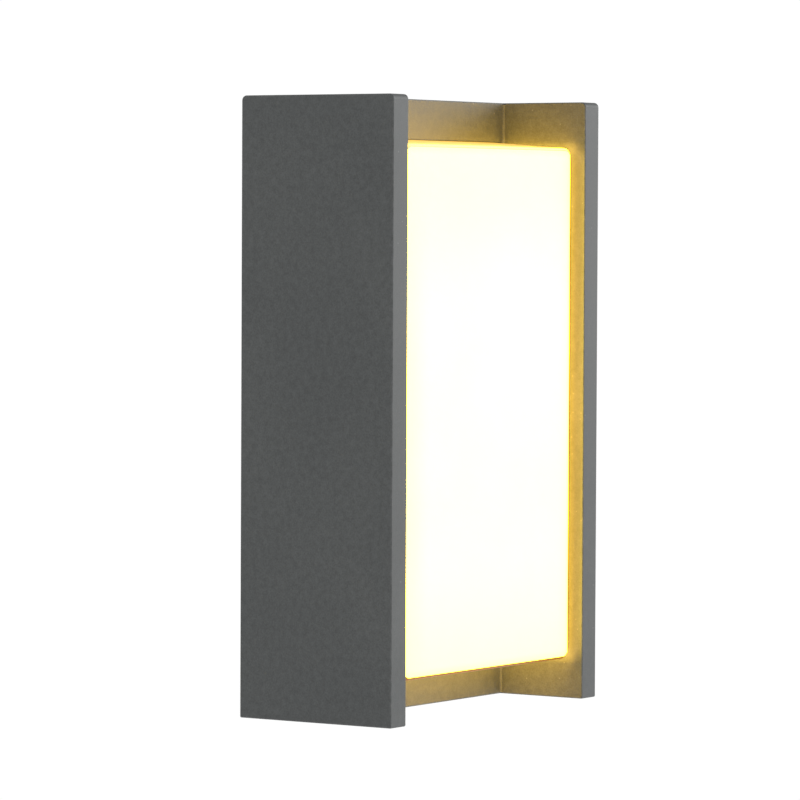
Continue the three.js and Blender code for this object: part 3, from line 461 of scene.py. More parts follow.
def surfaceGrain():
    # fine orange-peel height, slow cloudiness and a few light specks
    shape = grainShape
    group, start, end = newShaderGroup("surfaceGrain", {"Size": 1500.0, "Specks": 0.02},
                                       ["Height", "Cloud", "Speck"])
    place = start["Vector"]
    fine = noise(group, place, start["Size"], shape["fineDetail"], shape["fineRoughness"])
    coarseSize = maths(group, "MULTIPLY", start["Size"], shape["coarseSize"])
    coarse = noise(group, place, coarseSize, shape["coarseDetail"])
    height = addNode(group, "ShaderNodeMix", {0: shape["coarseShare"], 2: fine, 3: coarse}, data_type="FLOAT")
    slow = noise(group, place, shape["cloudSize"], shape["cloudDetail"], shape["cloudRoughness"],
                 shape["cloudDistortion"])
    cells = addNode(group, "ShaderNodeTexVoronoi", {"Vector": place, "Scale": shape["speckSize"]})
    drawn = addNode(group, "ShaderNodeSeparateColor", {"Color": cells.outputs["Color"]})
    chosen = maths(group, "GREATER_THAN", drawn.outputs[0], maths(group, "SUBTRACT", 1.0, start["Specks"]))
    spot = fade(group, cells.outputs["Distance"], shape["speckFull"], shape["speckEnd"])
    group.links.new(height.outputs[0], end["Height"])
    group.links.new(spread(group, slow), end["Cloud"])
    group.links.new(maths(group, "MULTIPLY", chosen, spot), end["Speck"])
    return group


wearShape = {"size": 260, "detail": 4, "roughness": 0.7, "spread": 0.15, "breakup": 0.6, "full": 0.2}


def edgeWear():
    # how near a point is to an edge of the box from Low to High, broken up by noise
    shape = wearShape
    group, start, end = newShaderGroup("edgeWear", {
        "Low": (0, 0, 0), "High": (1, 1, 1), "Width": 0.001,
    }, ["Mask"])
    place = start["Vector"]
    lower = vectorMaths(group, "SUBTRACT", place, start["Low"])
    upper = vectorMaths(group, "SUBTRACT", start["High"], place)
    nearest = split(group, vectorMaths(group, "MINIMUM", lower, upper))
    least = maths(group, "MINIMUM", nearest["X"], nearest["Y"])
    most = maths(group, "MAXIMUM", nearest["X"], nearest["Y"])
    second = maths(group, "MAXIMUM", least, maths(group, "MINIMUM", most, nearest["Z"]))
    ragged = spread(group, noise(group, place, shape["size"], shape["detail"], shape["roughness"]),
                    half=shape["spread"])
    share = maths(group, "DIVIDE", second, start["Width"])
    away = maths(group, "ADD", share, maths(group, "MULTIPLY", ragged, shape["breakup"]))
    group.links.new(fade(group, away, shape["full"], 1.0), end["Mask"])
    return group


def outlineDistance():
    # distance inwards from a rounded rectangle's outline in X and Z
    group, start, end = newShaderGroup("outlineDistance", {
        "Centre": (0, 0, 0), "Half": (1, 1, 1), "Radius": 0.005,
    }, ["Distance"])
    moved = vectorMaths(group, "SUBTRACT", start["Vector"], start["Centre"])
    beyond = vectorMaths(group, "SUBTRACT", vectorMaths(group, "ABSOLUTE", moved), start["Half"])
    parts = split(group, beyond)
    outX = maths(group, "ADD", parts["X"], start["Radius"])
    outZ = maths(group, "ADD", parts["Z"], start["Radius"])
    pastX = maths(group, "MAXIMUM", outX, 0.0)
    pastZ = maths(group, "MAXIMUM", outZ, 0.0)
    squareX = maths(group, "MULTIPLY", pastX, pastX)
    square = maths(group, "ADD", squareX, maths(group, "MULTIPLY", pastZ, pastZ))
    inside = maths(group, "MINIMUM", maths(group, "MAXIMUM", outX, outZ), 0.0)
    total = maths(group, "ADD", maths(group, "SQRT", square), inside)
    group.links.new(maths(group, "SUBTRACT", start["Radius"], total), end["Distance"])
    return group


brushShape = {
    "size": 2200, "detail": 3, "roughness": 0.65, "stainSize": 45, "stainDetail": 5, "stainDistortion": 1.2,
}


def brushedLines():
    # long fine scratches along one axis, as on rolled or drawn metal
    shape = brushShape
    group, start, end = newShaderGroup("brushedLines", {"Stretch": (1, 1, 0.03)}, ["Lines", "Stain"])
    stretched = vectorMaths(group, "MULTIPLY", start["Vector"], start["Stretch"])
    lines = noise(group, stretched, shape["size"], shape["detail"], shape["roughness"])
    stain = noise(group, start["Vector"], shape["stainSize"], shape["stainDetail"],
                  distortion=shape["stainDistortion"])
    group.links.new(spread(group, lines), end["Lines"])
    group.links.new(spread(group, stain), end["Stain"])
    return group


grainGroup = surfaceGrain()
wearGroup = edgeWear()
outlineGroup = outlineDistance()
brushGroup = brushedLines()


def newMaterial(name):
    material = bpy.data.materials.new(name)
    material.use_nodes = True
    tree = material.node_tree
    shader = tree.nodes["Principled BSDF"]
    place = addNode(tree, "ShaderNodeTexCoord").outputs["Object"]
    return material, tree, shader, place


def colour(red, green, blue):
    return (red, green, blue, 1.0)


def addGroup(tree, group, place, **values):
    # a shader group at that place, each value going to the input of the same name
    node = tree.nodes.new("ShaderNodeGroup")
    node.node_tree = group
    tree.links.new(place, node.inputs["Vector"])
    for key, value in values.items():
        node.inputs[key.capitalize()].default_value = value
    return node.outputs


def wearOn(tree, place, low, high, width):
    return addGroup(tree, wearGroup, place, low=low * mm, high=high * mm, width=width * mm)["Mask"]


def linkLook(tree, shader, tone, rough, height, look):
    # colour, roughness and relief of a finish
    tree.links.new(tone, shader.inputs["Base Color"])
    tree.links.new(rough, shader.inputs["Roughness"])
    bump = addNode(tree, "ShaderNodeBump", {
        "Height": height, "Strength": look["bump"], "Distance": look["bumpDepth"] * mm,
    })
    tree.links.new(bump.outputs["Normal"], shader.inputs["Normal"])


powderCoat = {
    "base": colour(0.057, 0.061, 0.061), "cloud": colour(0.068, 0.072, 0.071),
    "speck": colour(0.15, 0.155, 0.155), "worn": colour(0.13, 0.135, 0.135),
    "grainSize": 1700, "specks": 0.012, "speckShow": 0.7, "wearWidth": 0.9, "wearShow": 0.35,
    "grainLow": 0.76, "grainHigh": 1.24, "grainSpread": 0.15, "roughLow": 0.5, "roughHigh": 0.66,
    "rubbedSmoother": 0.1, "specular": 0.4, "bump": 0.5, "bumpDepth": 0.09,
}


def powderCoatOn(name, low, high):
    # fine-texture anthracite powder coat, lighter where a box's edges have rubbed
    look = powderCoat
    material, tree, shader, place = newMaterial(name)
    grain = addGroup(tree, grainGroup, place, size=look["grainSize"], specks=look["specks"])
    wear = wearOn(tree, place, low, high, look["wearWidth"])
    tone = blendColour(tree, grain["Cloud"], look["base"], look["cloud"])
    pits = spread(tree, grain["Height"], look["grainLow"], look["grainHigh"], look["grainSpread"])
    speckled = over(tree, grain["Speck"], look["speckShow"], scaled(tree, tone, pits), look["speck"])
    worn = over(tree, wear, look["wearShow"], speckled, look["worn"])
    rough = spread(tree, grain["Height"], look["roughLow"], look["roughHigh"])
    smoother = maths(tree, "SUBTRACT", rough, maths(tree, "MULTIPLY", wear, look["rubbedSmoother"]))
    shader.inputs["Specular IOR Level"].default_value = look["specular"]
    linkLook(tree, shader, worn, smoother, grain["Height"], look)
    return material


# the second colour of each pair is the base colour of the plastic: ivory, with a warmer rim, a dark painted
# shade line at the outline and yellow walls painted as if lit from inside; widths are in millimetres
opal = {
    "face": colour(1.0, 0.68, 0.008), "tint": colour(0.86, 0.84, 0.56),
    "rim": colour(1.0, 0.64, 0.007), "rimTint": colour(0.84, 0.8, 0.48),
    "line": colour(0.014, 0.004, 0.0001), "lineTint": colour(0.22, 0.1, 0.01),
    "wall": colour(0.05, 0.027, 0.002), "wallTint": colour(0.8, 0.6, 0.2),
    "core": colour(1.0, 0.68, 0.018), "coreFull": 45, "coreEnd": 105, "coreDrop": 10, "leftShadeEnd": 3,
    "leftShadeFull": 20, "strength": 13.0, "rimWidth": 4.0, "lineStart": 1.25, "lineFull": 0.8, "shadeLineTop": 0.15,
    "upFrom": 0.1, "upFull": 0.5, "sideStart": 2.1, "sideFull": 1.5, "lineEnd": 0.9, "wallFrom": 1.4,
    "radius": 5, "specular": 0.15, "grainSize": 900, "cloudLow": 0.95, "roughLow": 0.38, "roughHigh": 0.5,
    "bump": 0.15, "bumpDepth": 0.03,
}


def opalGlowWithPaintedShade(name, low, high):
    # opal plastic lit from inside: ivory face, whiter in the middle and warmer towards its outline, a darker
    # amber line of painted shade where the face turns into the side walls, strong below and at the sides and
    # weak on faces that point up, and yellow walls; the whiter middle fades out towards the left edge as
    # painted shade
    look = opal
    material, tree, shader, place = newMaterial(name)
    grain = addGroup(tree, grainGroup, place, size=look["grainSize"], specks=0.0)
    centre = (low + high) / 2 * mm
    half = (high - low) / 2 * mm
    outline = addGroup(tree, outlineGroup, place, centre=centre, half=half, radius=look["radius"] * mm)
    inwards = outline["Distance"]
    at = split(tree, place)
    depth = maths(tree, "SUBTRACT", at["Y"], low.y * mm)
    rim = fade(tree, inwards, look["lineStart"] * mm, look["rimWidth"] * mm)
    # painted shade: the amber outline line is strong on edges that face down or sideways and weak on faces
    # that point up
    upwards = split(tree, addNode(tree, "ShaderNodeNewGeometry").outputs["Normal"])["Z"]
    lower = remap(tree, upwards, look["upFrom"], look["upFull"], 1.0, look["shadeLineTop"], "SMOOTHSTEP")
    edge = fade(tree, inwards, look["lineFull"] * mm, look["lineStart"] * mm)
    sideways = maths(tree, "SUBTRACT", half.x, maths(tree, "ABSOLUTE", at["X"]))
    sideShadeLine = fade(tree, sideways, look["sideFull"] * mm, look["sideStart"] * mm)
    line = maths(tree, "MAXIMUM", maths(tree, "MULTIPLY", edge, lower), sideShadeLine)
    wall = remap(tree, depth, look["lineEnd"] * mm, look["wallFrom"] * mm, 0.0, 1.0, "SMOOTHSTEP")
    fromMiddle = maths(tree, "ABSOLUTE", maths(tree, "SUBTRACT", at["Z"], centre.z - look["coreDrop"] * mm))
    upright = fade(tree, fromMiddle, look["coreFull"] * mm, look["coreEnd"] * mm)
    # painted shade: the whiter middle fades out over the left edge, next to the left side panel
    fromLeft = maths(tree, "SUBTRACT", at["X"], low.x * mm)
    across = remap(tree, fromLeft, look["leftShadeEnd"] * mm, look["leftShadeFull"] * mm, 0.0, 1.0, "SMOOTHSTEP")
    core = blendColour(tree, maths(tree, "MULTIPLY", upright, across), look["face"], look["core"])
    cloudy = remap(tree, grain["Cloud"], 0.0, 1.0, look["cloudLow"], 1.0)

    def rimShadeLineAndWalls(face, kind):
        # rim, painted shade line and walls over the face
        for mask, layer in ((rim, "rim"), (line, "line"), (wall, "wall")):
            face = blendColour(tree, mask, face, look[layer + kind])
        return scaled(tree, face, cloudy)

    tree.links.new(rimShadeLineAndWalls(core, ""), shader.inputs["Emission Color"])
    shader.inputs["Emission Strength"].default_value = look["strength"]
    shader.inputs["Specular IOR Level"].default_value = look["specular"]
    rough = spread(tree, grain["Height"], look["roughLow"], look["roughHigh"])
    # the base colour gets the same warm rim, painted shade line and painted lit yellow walls as the glow
    linkLook(tree, shader, rimShadeLineAndWalls(look["tint"], "Tint"), rough, grain["Height"], look)
    return material


plasticLook = {
    "specks": 0.004, "dust": colour(0.3, 0.29, 0.27), "dustShow": 0.4, "wearWidth": 0.5, "wearShow": 0.5,
    "lightest": 0.95, "smoother": 0.07, "rougher": 0.1, "bump": 0.3, "bumpDepth": 0.05,
}


def mouldedPlastic(name, base, shade, low, high, rough=0.45, size=2200, light=0.12):
    # moulded plastic or rubber: fine spark-eroded texture, uneven flow tone, rubbed edges
    look = plasticLook
    material, tree, shader, place = newMaterial(name)
    grain = addGroup(tree, grainGroup, place, size=size, specks=look["specks"])
    wear = wearOn(tree, place, low, high, look["wearWidth"])
    tone = blendColour(tree, grain["Cloud"], base, shade)
    dusty = over(tree, grain["Speck"], look["dustShow"], tone, look["dust"])
    lighter = colour(*[min(channel + light, look["lightest"]) for channel in base[:3]])
    edged = over(tree, wear, look["wearShow"], dusty, lighter)
    roughness = spread(tree, grain["Height"], rough - look["smoother"], rough + look["rougher"])
    linkLook(tree, shader, edged, roughness, grain["Height"], look)
    return material


metalLook = {
    "grainSize": 1200, "specks": 0.01, "line": colour(0.3, 0.3, 0.31), "lineShow": 0.18,
    "mark": colour(0.18, 0.17, 0.16), "markShow": 0.5, "rubbed": colour(0.86, 0.86, 0.86), "wearWidth": 0.4,
    "wearShow": 0.4, "rougher": 0.2, "bump": 0.12, "bumpDepth": 0.01,
}


def platedMetal(name, base, stain, low, high, stretch=(1, 1, 0.03), rough=0.3):
    # plated or bare metal: drawn lines, passivation stains, brighter rubbed edges
    look = metalLook
    material, tree, shader, place = newMaterial(name)
    brush = addGroup(tree, brushGroup, place, stretch=stretch)
    grain = addGroup(tree, grainGroup, place, size=look["grainSize"], specks=look["specks"])
    wear = wearOn(tree, place, low, high, look["wearWidth"])
    tone = blendColour(tree, brush["Stain"], base, stain)
    lined = over(tree, brush["Lines"], look["lineShow"], tone, look["line"])
    marked = over(tree, grain["Speck"], look["markShow"], lined, look["mark"])
    edged = over(tree, wear, look["wearShow"], marked, look["rubbed"])
    shader.inputs["Metallic"].default_value = 1.0
    roughness = remap(tree, brush["Lines"], 0.0, 1.0, rough, rough + look["rougher"])
    linkLook(tree, shader, edged, roughness, brush["Lines"], look)
    return material


foamLook = {
    "base": colour(0.028, 0.029, 0.031), "cloud": colour(0.045, 0.046, 0.048), "cellSize": 1500,
    "pore": colour(0.012, 0.012, 0.013), "poreFull": 0.1, "poreEnd": 0.5, "poreShow": 0.6, "grainSize": 900,
    "worn": colour(0.09, 0.09, 0.09), "wearWidth": 0.6, "wearShow": 0.3, "roughLow": 0.82, "roughHigh": 0.95,
    "bump": 0.5, "bumpDepth": 0.12,
}


def foamRubber(name, low, high):
    # closed-cell foam with small open pores on its cut faces
    look = foamLook
    material, tree, shader, place = newMaterial(name)
    cells = addNode(tree, "ShaderNodeTexVoronoi", {"Vector": place, "Scale": look["cellSize"]})
    distance = cells.outputs["Distance"]
    grain = addGroup(tree, grainGroup, place, size=look["grainSize"], specks=0.0)
    wear = wearOn(tree, place, low, high, look["wearWidth"])
    pore = remap(tree, distance, look["poreFull"], look["poreEnd"], 1.0, 0.0)
    tone = blendColour(tree, grain["Cloud"], look["base"], look["cloud"])
    pored = over(tree, pore, look["poreShow"], tone, look["pore"])
    edged = over(tree, wear, look["wearShow"], pored, look["worn"])
    rough = remap(tree, pore, 0.0, 1.0, look["roughLow"], look["roughHigh"])
    linkLook(tree, shader, edged, rough, distance, look)
    return material


insulationLook = {
    "grainSize": 800, "specks": 0.01, "shade": 0.75, "stripeFrom": 0.32, "stripeFull": 0.42,
    "dust": colour(0.35, 0.33, 0.3), "dustShow": 0.4, "roughLow": 0.34, "roughHigh": 0.5, "bump": 0.12,
    "bumpDepth": 0.03,
}


def wireInsulation(name, base, stripe=None):
    # smooth insulation, slightly dusty, with a stripe along one side if it has one
    look = insulationLook
    material, tree, shader, place = newMaterial(name)
    grain = addGroup(tree, grainGroup, place, size=look["grainSize"], specks=look["specks"])
    shade = colour(*[channel * look["shade"] for channel in base[:3]])
    tone = blendColour(tree, grain["Cloud"], base, shade)
    if stripe:
        side = addNode(tree, "ShaderNodeAttribute", attribute_name="side").outputs["Fac"]
        mask = remap(tree, side, look["stripeFrom"], look["stripeFull"], 0.0, 1.0)
        tone = blendColour(tree, mask, tone, stripe)
    dusty = over(tree, grain["Speck"], look["dustShow"], tone, look["dust"])
    rough = remap(tree, grain["Cloud"], 0.0, 1.0, look["roughLow"], look["roughHigh"])
    linkLook(tree, shader, dusty, rough, grain["Height"], look)
    return material


boardLook = {
    "grainSize": 1500, "specks": 0.006, "trackShow": 0.35, "roughLow": 0.3, "roughHigh": 0.45, "bump": 0.3,
    "bumpDepth": 0.03,
    "tracks": {
        "Scale": 60.0, "Mortar Size": 0.02, "Mortar Smooth": 0.1, "Brick Width": 0.9, "Row Height": 0.45,
    },
}


def circuitBoard(name, base, shade, copper):
    # solder mask over copper areas, with the tracks showing as a faint relief
    look = boardLook
    material, tree, shader, place = newMaterial(name)
    grain = addGroup(tree, grainGroup, place, size=look["grainSize"], specks=look["specks"])
    tracks = addNode(tree, "ShaderNodeTexBrick", {"Vector": place, **look["tracks"]}).outputs["Fac"]
    tone = blendColour(tree, grain["Cloud"], base, shade)
    tracked = over(tree, tracks, look["trackShow"], tone, copper)
    rough = remap(tree, grain["Cloud"], 0.0, 1.0, look["roughLow"], look["roughHigh"])
    linkLook(tree, shader, tracked, rough, tracks, look)
    return material


def everywhere():
    # a box so large that no edge of it shows wear
    far = 500
    return Vector((-far, -far, -far)), Vector((far, far, far))


print("stage: shader groups and materials ready")


panelShape = {
    "topRadius": 2, "bottomRadius": 0.6, "cornerSteps": 10, "edgeRadius": 0.5, "skin": 2.5, "frontSolid": 9,
    "ribHeight": 13, "screwHeights": (-80, 0, 80), "screwFromWall": 14, "boreRadius": 2.15,
    "boreDepth": 6.8, "pocketRadius": 1.2, "pocketSteps": 5,
}


def sidePanel(name, node, side):
    # cored from behind, with a rib at each screw
    shape = panelShape
    low, high = nodeBox(node)
    outline = roundedOutline(low.y, high.y, low.z, high.z, shape["topRadius"], shape["bottomRadius"],
                             shape["cornerSteps"])
    panel = soften(prism(name, "x", outline, low.x, high.x), shape["edgeRadius"])
    skin = shape["skin"]
    tools = []
    pocketLow = low.z + skin
    for rib in [*shape["screwHeights"], high.z]:
        pocketHigh = high.z - skin if rib == high.z else rib - shape["ribHeight"] / 2
        corners = roundedOutline(low.x + skin, high.x - skin, pocketLow, pocketHigh, shape["pocketRadius"],
                                 steps=shape["pocketSteps"])
        tools.append(prism("pocket", "y", corners, low.y + shape["frontSolid"], past))
        pocketLow = rib + shape["ribHeight"] / 2
    inner = low.x if side > 0 else high.x
    for height in shape["screwHeights"]:
        ends = sorted((inner - side, inner + side * shape["boreDepth"]))
        tools.append(rod("x", (-shape["screwFromWall"], height), shape["boreRadius"], *ends))
    combine(panel, tools)
    dress(panel, powderCoatOn(name + "Coat", low, high), [node], "powder_coat")


sidePanel("leftSidePanel", "left_side_panel", -1)
sidePanel("rightSidePanel", "right_side_panel", 1)
print("stage: side panels")


# a boss is (radius, height); the seat is a profile of (radius, place outwards from the housing's face)
housingShape = {
    "webThickness": 3, "wall": 3, "edgeRadius": 0.6, "edgeSteps": 5, "cavityRadius": 4, "coveRadius": 0.9,
    "coveLip": 0.3, "coveLap": 0.5, "coveSteps": 10, "grooveDepth": 1.4, "grooveGap": 0.15,
    "grooveWidth": 2.5, "grooveRadius": 5, "boardBoss": (3.5, 4), "driverBoss": (4.4, 2.9),
    "terminalBoss": (3.2, 2.9), "earthBoss": (4.5, 5), "bossFillet": 0.9, "filletSteps": 4,
    "bossBevel": 0.3, "bossReach": 6,
    "diffuserHole": 1.8, "boardHole": 1.65, "bushHole": 4.2, "panelHole": 2.3, "driverHole": 1.75,
    "terminalHole": 1.35, "earthHole": 2.15, "blindFloor": 0.8,
    "seat": [(0, 1), (4.25, 1), (4.25, -0.35), (2.3, -2.2), (2.3, -5), (0, -5)],
}
boardScrewNodes = [f"led_board_screw_{index}" for index in range(1, 5)]
diffuserScrewNodes = [f"diffuser_screw_{index}" for index in range(1, 5)]
panelScrewNodes = [f"{side}_panel_screw_{index}" for side in ("left", "right") for index in (1, 2, 3)]
driverScrewNodes = ["driver_screw_1", "driver_screw_2"]
terminalScrewNodes = ["terminal_screw_1", "terminal_screw_2"]


def boss(at, radius, height, base):
    # round boss on the web with a small fillet at its foot
    fillet = housingShape["bossFillet"]
    bevel = housingShape["bossBevel"]
    steps = housingShape["filletSteps"]
    profile = [(0, base - past), (radius + fillet, base - past)]
    for step in range(steps + 1):
        angle = math.radians(90 * step / steps)
        profile.append((radius + fillet - fillet * math.sin(angle), base + fillet * (1 - math.cos(angle))))
    profile += [(radius, base + height - bevel), (radius - bevel, base + height), (0, base + height)]
    return turned("boss", profile, "y", at)


def housing():
    # web with coves, bosses and a groove for the diffuser, and behind it an open-backed box
    shape = housingShape
    low, high = nodeBox("centre_housing")
    baseLow, baseHigh = nodeBox("diffuser")
    wall = shape["wall"]
    webRear = low.y + shape["webThickness"]
    side = roundedOutline(low.y, high.y, low.z, high.z, shape["edgeRadius"], steps=shape["edgeSteps"])
    body = prism("centreHousing", "x", side, low.x, high.x)
    combine(body, [prism("hollow", "y", insetOutline(low, high, wall, shape["cavityRadius"]), webRear, past)])

    cove = shape["coveRadius"]
    reach = cove + shape["coveLip"]
    lap = shape["coveLap"]
    section = arcPoints((-reach, -cove), cove, 90, 0, shape["coveSteps"])
    section += [(0, -cove), (0, lap), (-reach, lap)]
    added = []
    for corner, turn in ((low.x, -1), (high.x, 1)):
        strip = [(corner + turn * u, low.y + v) for u, v in section]
        added.append(prism("cove", "z", strip, low.z + shape["edgeRadius"], high.z - shape["edgeRadius"]))
    for nodes, kind in (
        (boardScrewNodes, "boardBoss"), (driverScrewNodes, "driverBoss"),
        (terminalScrewNodes, "terminalBoss"), (["earth_screw"], "earthBoss"),
    ):
        added += [boss(spot, *shape[kind], webRear) for spot in screwSpots(nodes)]
    combine(body, added, "UNION")

    gap = shape["grooveGap"]
    width = shape["grooveWidth"]
    radius = shape["grooveRadius"]
    floor = low.y + shape["grooveDepth"]
    groove = prism("groove", "y", insetOutline(baseLow, baseHigh, -gap, radius + gap), low.y - past, floor)
    inner = insetOutline(baseLow, baseHigh, width + gap, radius - width)
    combine(groove, [prism("island", "y", inner, low.y - 2 * past, floor + past)])
    combine(body, [groove])

    front = low.y - past
    blind = low.y + shape["blindFloor"]
    above = webRear + shape["bossReach"]
    tools = rodsAt(diffuserScrewNodes, shape["diffuserHole"], front, webRear + past)
    tools += rodsAt(boardScrewNodes, shape["boardHole"], front, above)
    tools += rodsAt(driverScrewNodes, shape["driverHole"], blind, above)
    tools += rodsAt(terminalScrewNodes, shape["terminalHole"], blind, above)
    tools += rodsAt(["earth_screw"], shape["earthHole"], blind, above)
    tools += rodsAt(["led_wire_bush"], shape["bushHole"], front, webRear + past)
    for node in panelScrewNodes:
        centre = nodeCentre(node)
        ends = sorted((math.copysign(high.x - wall - past, centre.x), math.copysign(high.x + past, centre.x)))
        tools.append(rod("x", (centre.y, centre.z), shape["panelHole"], *ends))
    for node, face, end in (("top_fixing_screw", high.z, 1), ("bottom_fixing_screw", low.z, -1)):
        centre = nodeCentre(node)
        seat = [(across, face + end * along) for across, along in shape["seat"]]
        tools.append(turned("seat", seat, "z", (centre.x, centre.y)))
    combine(body, tools)
    dress(body, powderCoatOn("housingCoat", low, high), ["centre_housing"], "powder_coat")


housing()
print("stage: centre housing")


diffuserShape = {
    "cornerRadius": 5, "edgeRadius": 1.2, "wall": 2.5, "sideDraft": 0.7, "endDraft": 2.6, "innerBevel": 0.6,
    "rimGap": 0.1, "bossRadius": 4, "bossLength": 13, "bossGap": 0.1, "bossSteps": 32, "boreRadius": 1.65,
    "tipRoom": 0.4, "cornerSteps": 12, "edgeSteps": 8,
}


def diffuser():
    # drafted box with rounded front edges, open at the back, with four screw bosses inside
    shape = diffuserShape
    low, high = nodeBox("diffuser")
    baseY = nodeBox("diffuser_gasket")[0].y - shape["rimGap"]
    centre = (low + high) / 2
    frontX = (high.x - low.x - 2 * shape["sideDraft"]) / 2
    frontZ = (high.z - low.z - 2 * shape["endDraft"]) / 2
    skin = bmesh.new()

    def ring(y, inset):
        share = (y - low.y) / (baseY - low.y)
        halfX = frontX + shape["sideDraft"] * share - inset
        halfZ = frontZ + shape["endDraft"] * share - inset
        outline = centredOutline(centre.x, centre.z, halfX, halfZ, shape["cornerRadius"] - inset,
                                 shape["cornerSteps"])
        return [skin.verts.new((u, y, v)) for u, v in outline]

    edge = shape["edgeRadius"]
    wall = shape["wall"]
    bevel = shape["innerBevel"]
    outer = [ring(baseY, 0)]
    for step in range(shape["edgeSteps"] + 1):
        angle = math.radians(90 * step / shape["edgeSteps"])
        outer.append(ring(low.y + edge * (1 - math.sin(angle)), edge * (1 - math.cos(angle))))
    inner = [ring(low.y + wall, wall + bevel), ring(low.y + wall + bevel, wall), ring(baseY, wall)]
    outer.insert(0, inner[2])
    for one, two in [*zip(outer, outer[1:]), *zip(inner, inner[1:])]:
        bridge(skin, one, two)
    skin.faces.new(outer[-1])
    skin.faces.new(inner[0])
    shell = fromBmesh("opalDiffuser", skin)

    rear = nodeBox("centre_housing")[0].y - shape["bossGap"]
    front = rear - shape["bossLength"]
    bosses = rodsAt(diffuserScrewNodes, shape["bossRadius"], front, rear, shape["bossSteps"])
    combine(shell, bosses, "UNION")
    boreTip = nodeBox(diffuserScrewNodes[0])[0].y - shape["tipRoom"]
    combine(shell, rodsAt(diffuserScrewNodes, shape["boreRadius"], boreTip, baseY + past))
    corners = [Vector((centre.x + end * frontX, low.y, centre.z + end * frontZ)) for end in (-1, 1)]
    dress(shell, opalGlowWithPaintedShade("opalPlastic", *corners), ["diffuser"], "opal")


sealShape = {"outerRadius": 5, "innerRadius": 2.7, "width": 2.3, "edge": 0.25}


def diffuserSeal():
    seal = gasketFrame("diffuserSeal", "diffuser_gasket", sealShape)
    look = mouldedPlastic("siliconeSeal", colour(0.6, 0.6, 0.57), colour(0.52, 0.52, 0.5),
                          *nodeBox("diffuser_gasket"), 0.6)
    dress(seal, look, ["diffuser_gasket"], "silicone")


diffuser()
diffuserSeal()
print("stage: diffuser")


# shank, head and rise as in the part; recess is the half width of the cross
screwShapes = {
    "panel": {"shank": 2, "head": 3.6, "rise": 2.3, "recess": 1.9, "pitch": 0.9},
    "diffuser": {"shank": 1.5, "head": 2.8, "rise": 2, "recess": 1.5, "pitch": 0.8},
    "board": {"shank": 1.5, "head": 2.8, "rise": 1.8, "recess": 1.5, "pitch": 0.8},
    "driver": {"shank": 1.6, "head": 3, "rise": 2, "recess": 1.6, "pitch": 0.8},
    "terminal": {"shank": 1.2, "head": 2.1, "rise": 1.3, "recess": 1.1, "pitch": 0.7},
    "earth": {"shank": 2, "head": 3.7, "rise": 2.4, "recess": 1.9, "pitch": 0.8},
    "fixing": {"shank": 2, "head": 3.9, "rise": 2.2, "recess": 1.9, "pitch": 0.8, "countersunk": True},
}

# shares of the shank, the pitch or the head, and lengths in millimetres
screwDetail = {
    "pointShare": 0.55, "taperShare": 0.9, "taper": 0.7, "threadFrom": 0.9, "neck": 0.6, "flushNeck": 0.5,
    "crestPart": 0.2, "rootPart": 0.5, "rootShare": 0.8, "flushRim": 0.2, "flushEdge": 0.08, "seatEdge": 0.1,
    "rim": 0.12, "domeStart": 15, "domeSteps": 5, "domeWiden": 0.02, "domeRise": 0.999, "armHalf": 0.3,
    "armTip": 0.35, "armDepth": 0.62, "armAbove": 0.5, "steps": 28,
}


def screwPiece(kind, length):
    # along +Z, the head's seat at z = 0, with a cross recess and thread rings
    shape = screwShapes[kind]
    detail = screwDetail
    shank, head, rise, pitch = [shape[key] for key in ("shank", "head", "rise", "pitch")]
    flush = shape.get("countersunk", False)
    along = -length + detail["threadFrom"]
    last = -rise - detail["flushNeck"] if flush else -detail["neck"]
    profile = [(0, -length), (shank * detail["pointShare"], -length),
               (shank * detail["taperShare"], -length + detail["taper"])]
    while along + pitch < last:
        profile += [(shank, along), (shank, along + pitch * detail["crestPart"]),
                    (shank * detail["rootShare"], along + pitch * detail["rootPart"])]
        along += pitch
    profile.append((shank, last))
    if flush:
        profile += [(shank, -rise), (head, -detail["flushRim"]), (head - detail["flushEdge"], 0), (0, 0)]
    else:
        profile += [(shank, 0), (head - detail["seatEdge"], 0), (head, detail["rim"])]
        for step in range(detail["domeSteps"]):
            rest = 90 - detail["domeStart"]
            angle = math.radians(detail["domeStart"] + rest * step / detail["domeSteps"])
            profile.append((head * math.cos(angle) + detail["domeWiden"] * step,
                            rise * math.sin(angle) * detail["domeRise"]))
        profile.append((0, rise))
    piece = turned(kind + "Screw", profile, "z", steps=detail["steps"])
    top = 0 if flush else rise
    arm = shape["recess"]
    half = detail["armHalf"]
    tip = detail["armTip"]
    arms = []
    for u, v, tipU, tipV in ((arm, half, tip, 1), (half, arm, 1, tip)):
        wide = [(-u, -v), (u, -v), (u, v), (-u, v)]
        narrow = [(x * tipU, y * tipV) for x, y in wide]
        arms.append(loft("arm", "z", wide, top + detail["armAbove"], narrow, top - rise * detail["armDepth"]))
    return combine(piece, arms)


def tipDirection(kind, node):
    if kind == "panel":
        return Vector((-1 if node.startswith("left") else 1, 0, 0))
    if kind == "fixing":
        return Vector((0, 0, -1 if node.startswith("top") else 1))
    return Vector((0, 1 if kind == "board" else -1, 0))


def screws(name, kind, nodes):
    # one copy of the screw at the place of each CAD screw, made by the placing tree
    shape = screwShapes[kind]
    rise = 0 if shape.get("countersunk") else shape["rise"]
    spots = bmesh.new()
    layer = spots.verts.layers.float_vector.new("axis")
    for node in nodes:
        low, high = nodeBox(node)
        direction = tipDirection(kind, node)
        span = abs((high - low).dot(direction))
        seat = (low + high) / 2 - direction * (span / 2 - rise)
        vertex = spots.verts.new(seat * mm)
        vertex[layer] = -direction
    steel = kind in ("diffuser", "fixing")
    material, slot = (screwSteel, "stainless") if steel else (screwZinc, "zinc_steel")
    piece = screwPiece(kind, span - rise)
    made = runTree(meshFrom(name, spots), placingTreeGroup, {"Piece": piece, "Finish": material})
    discard(piece)
    dress(made, None, nodes, slot, smooth=50)


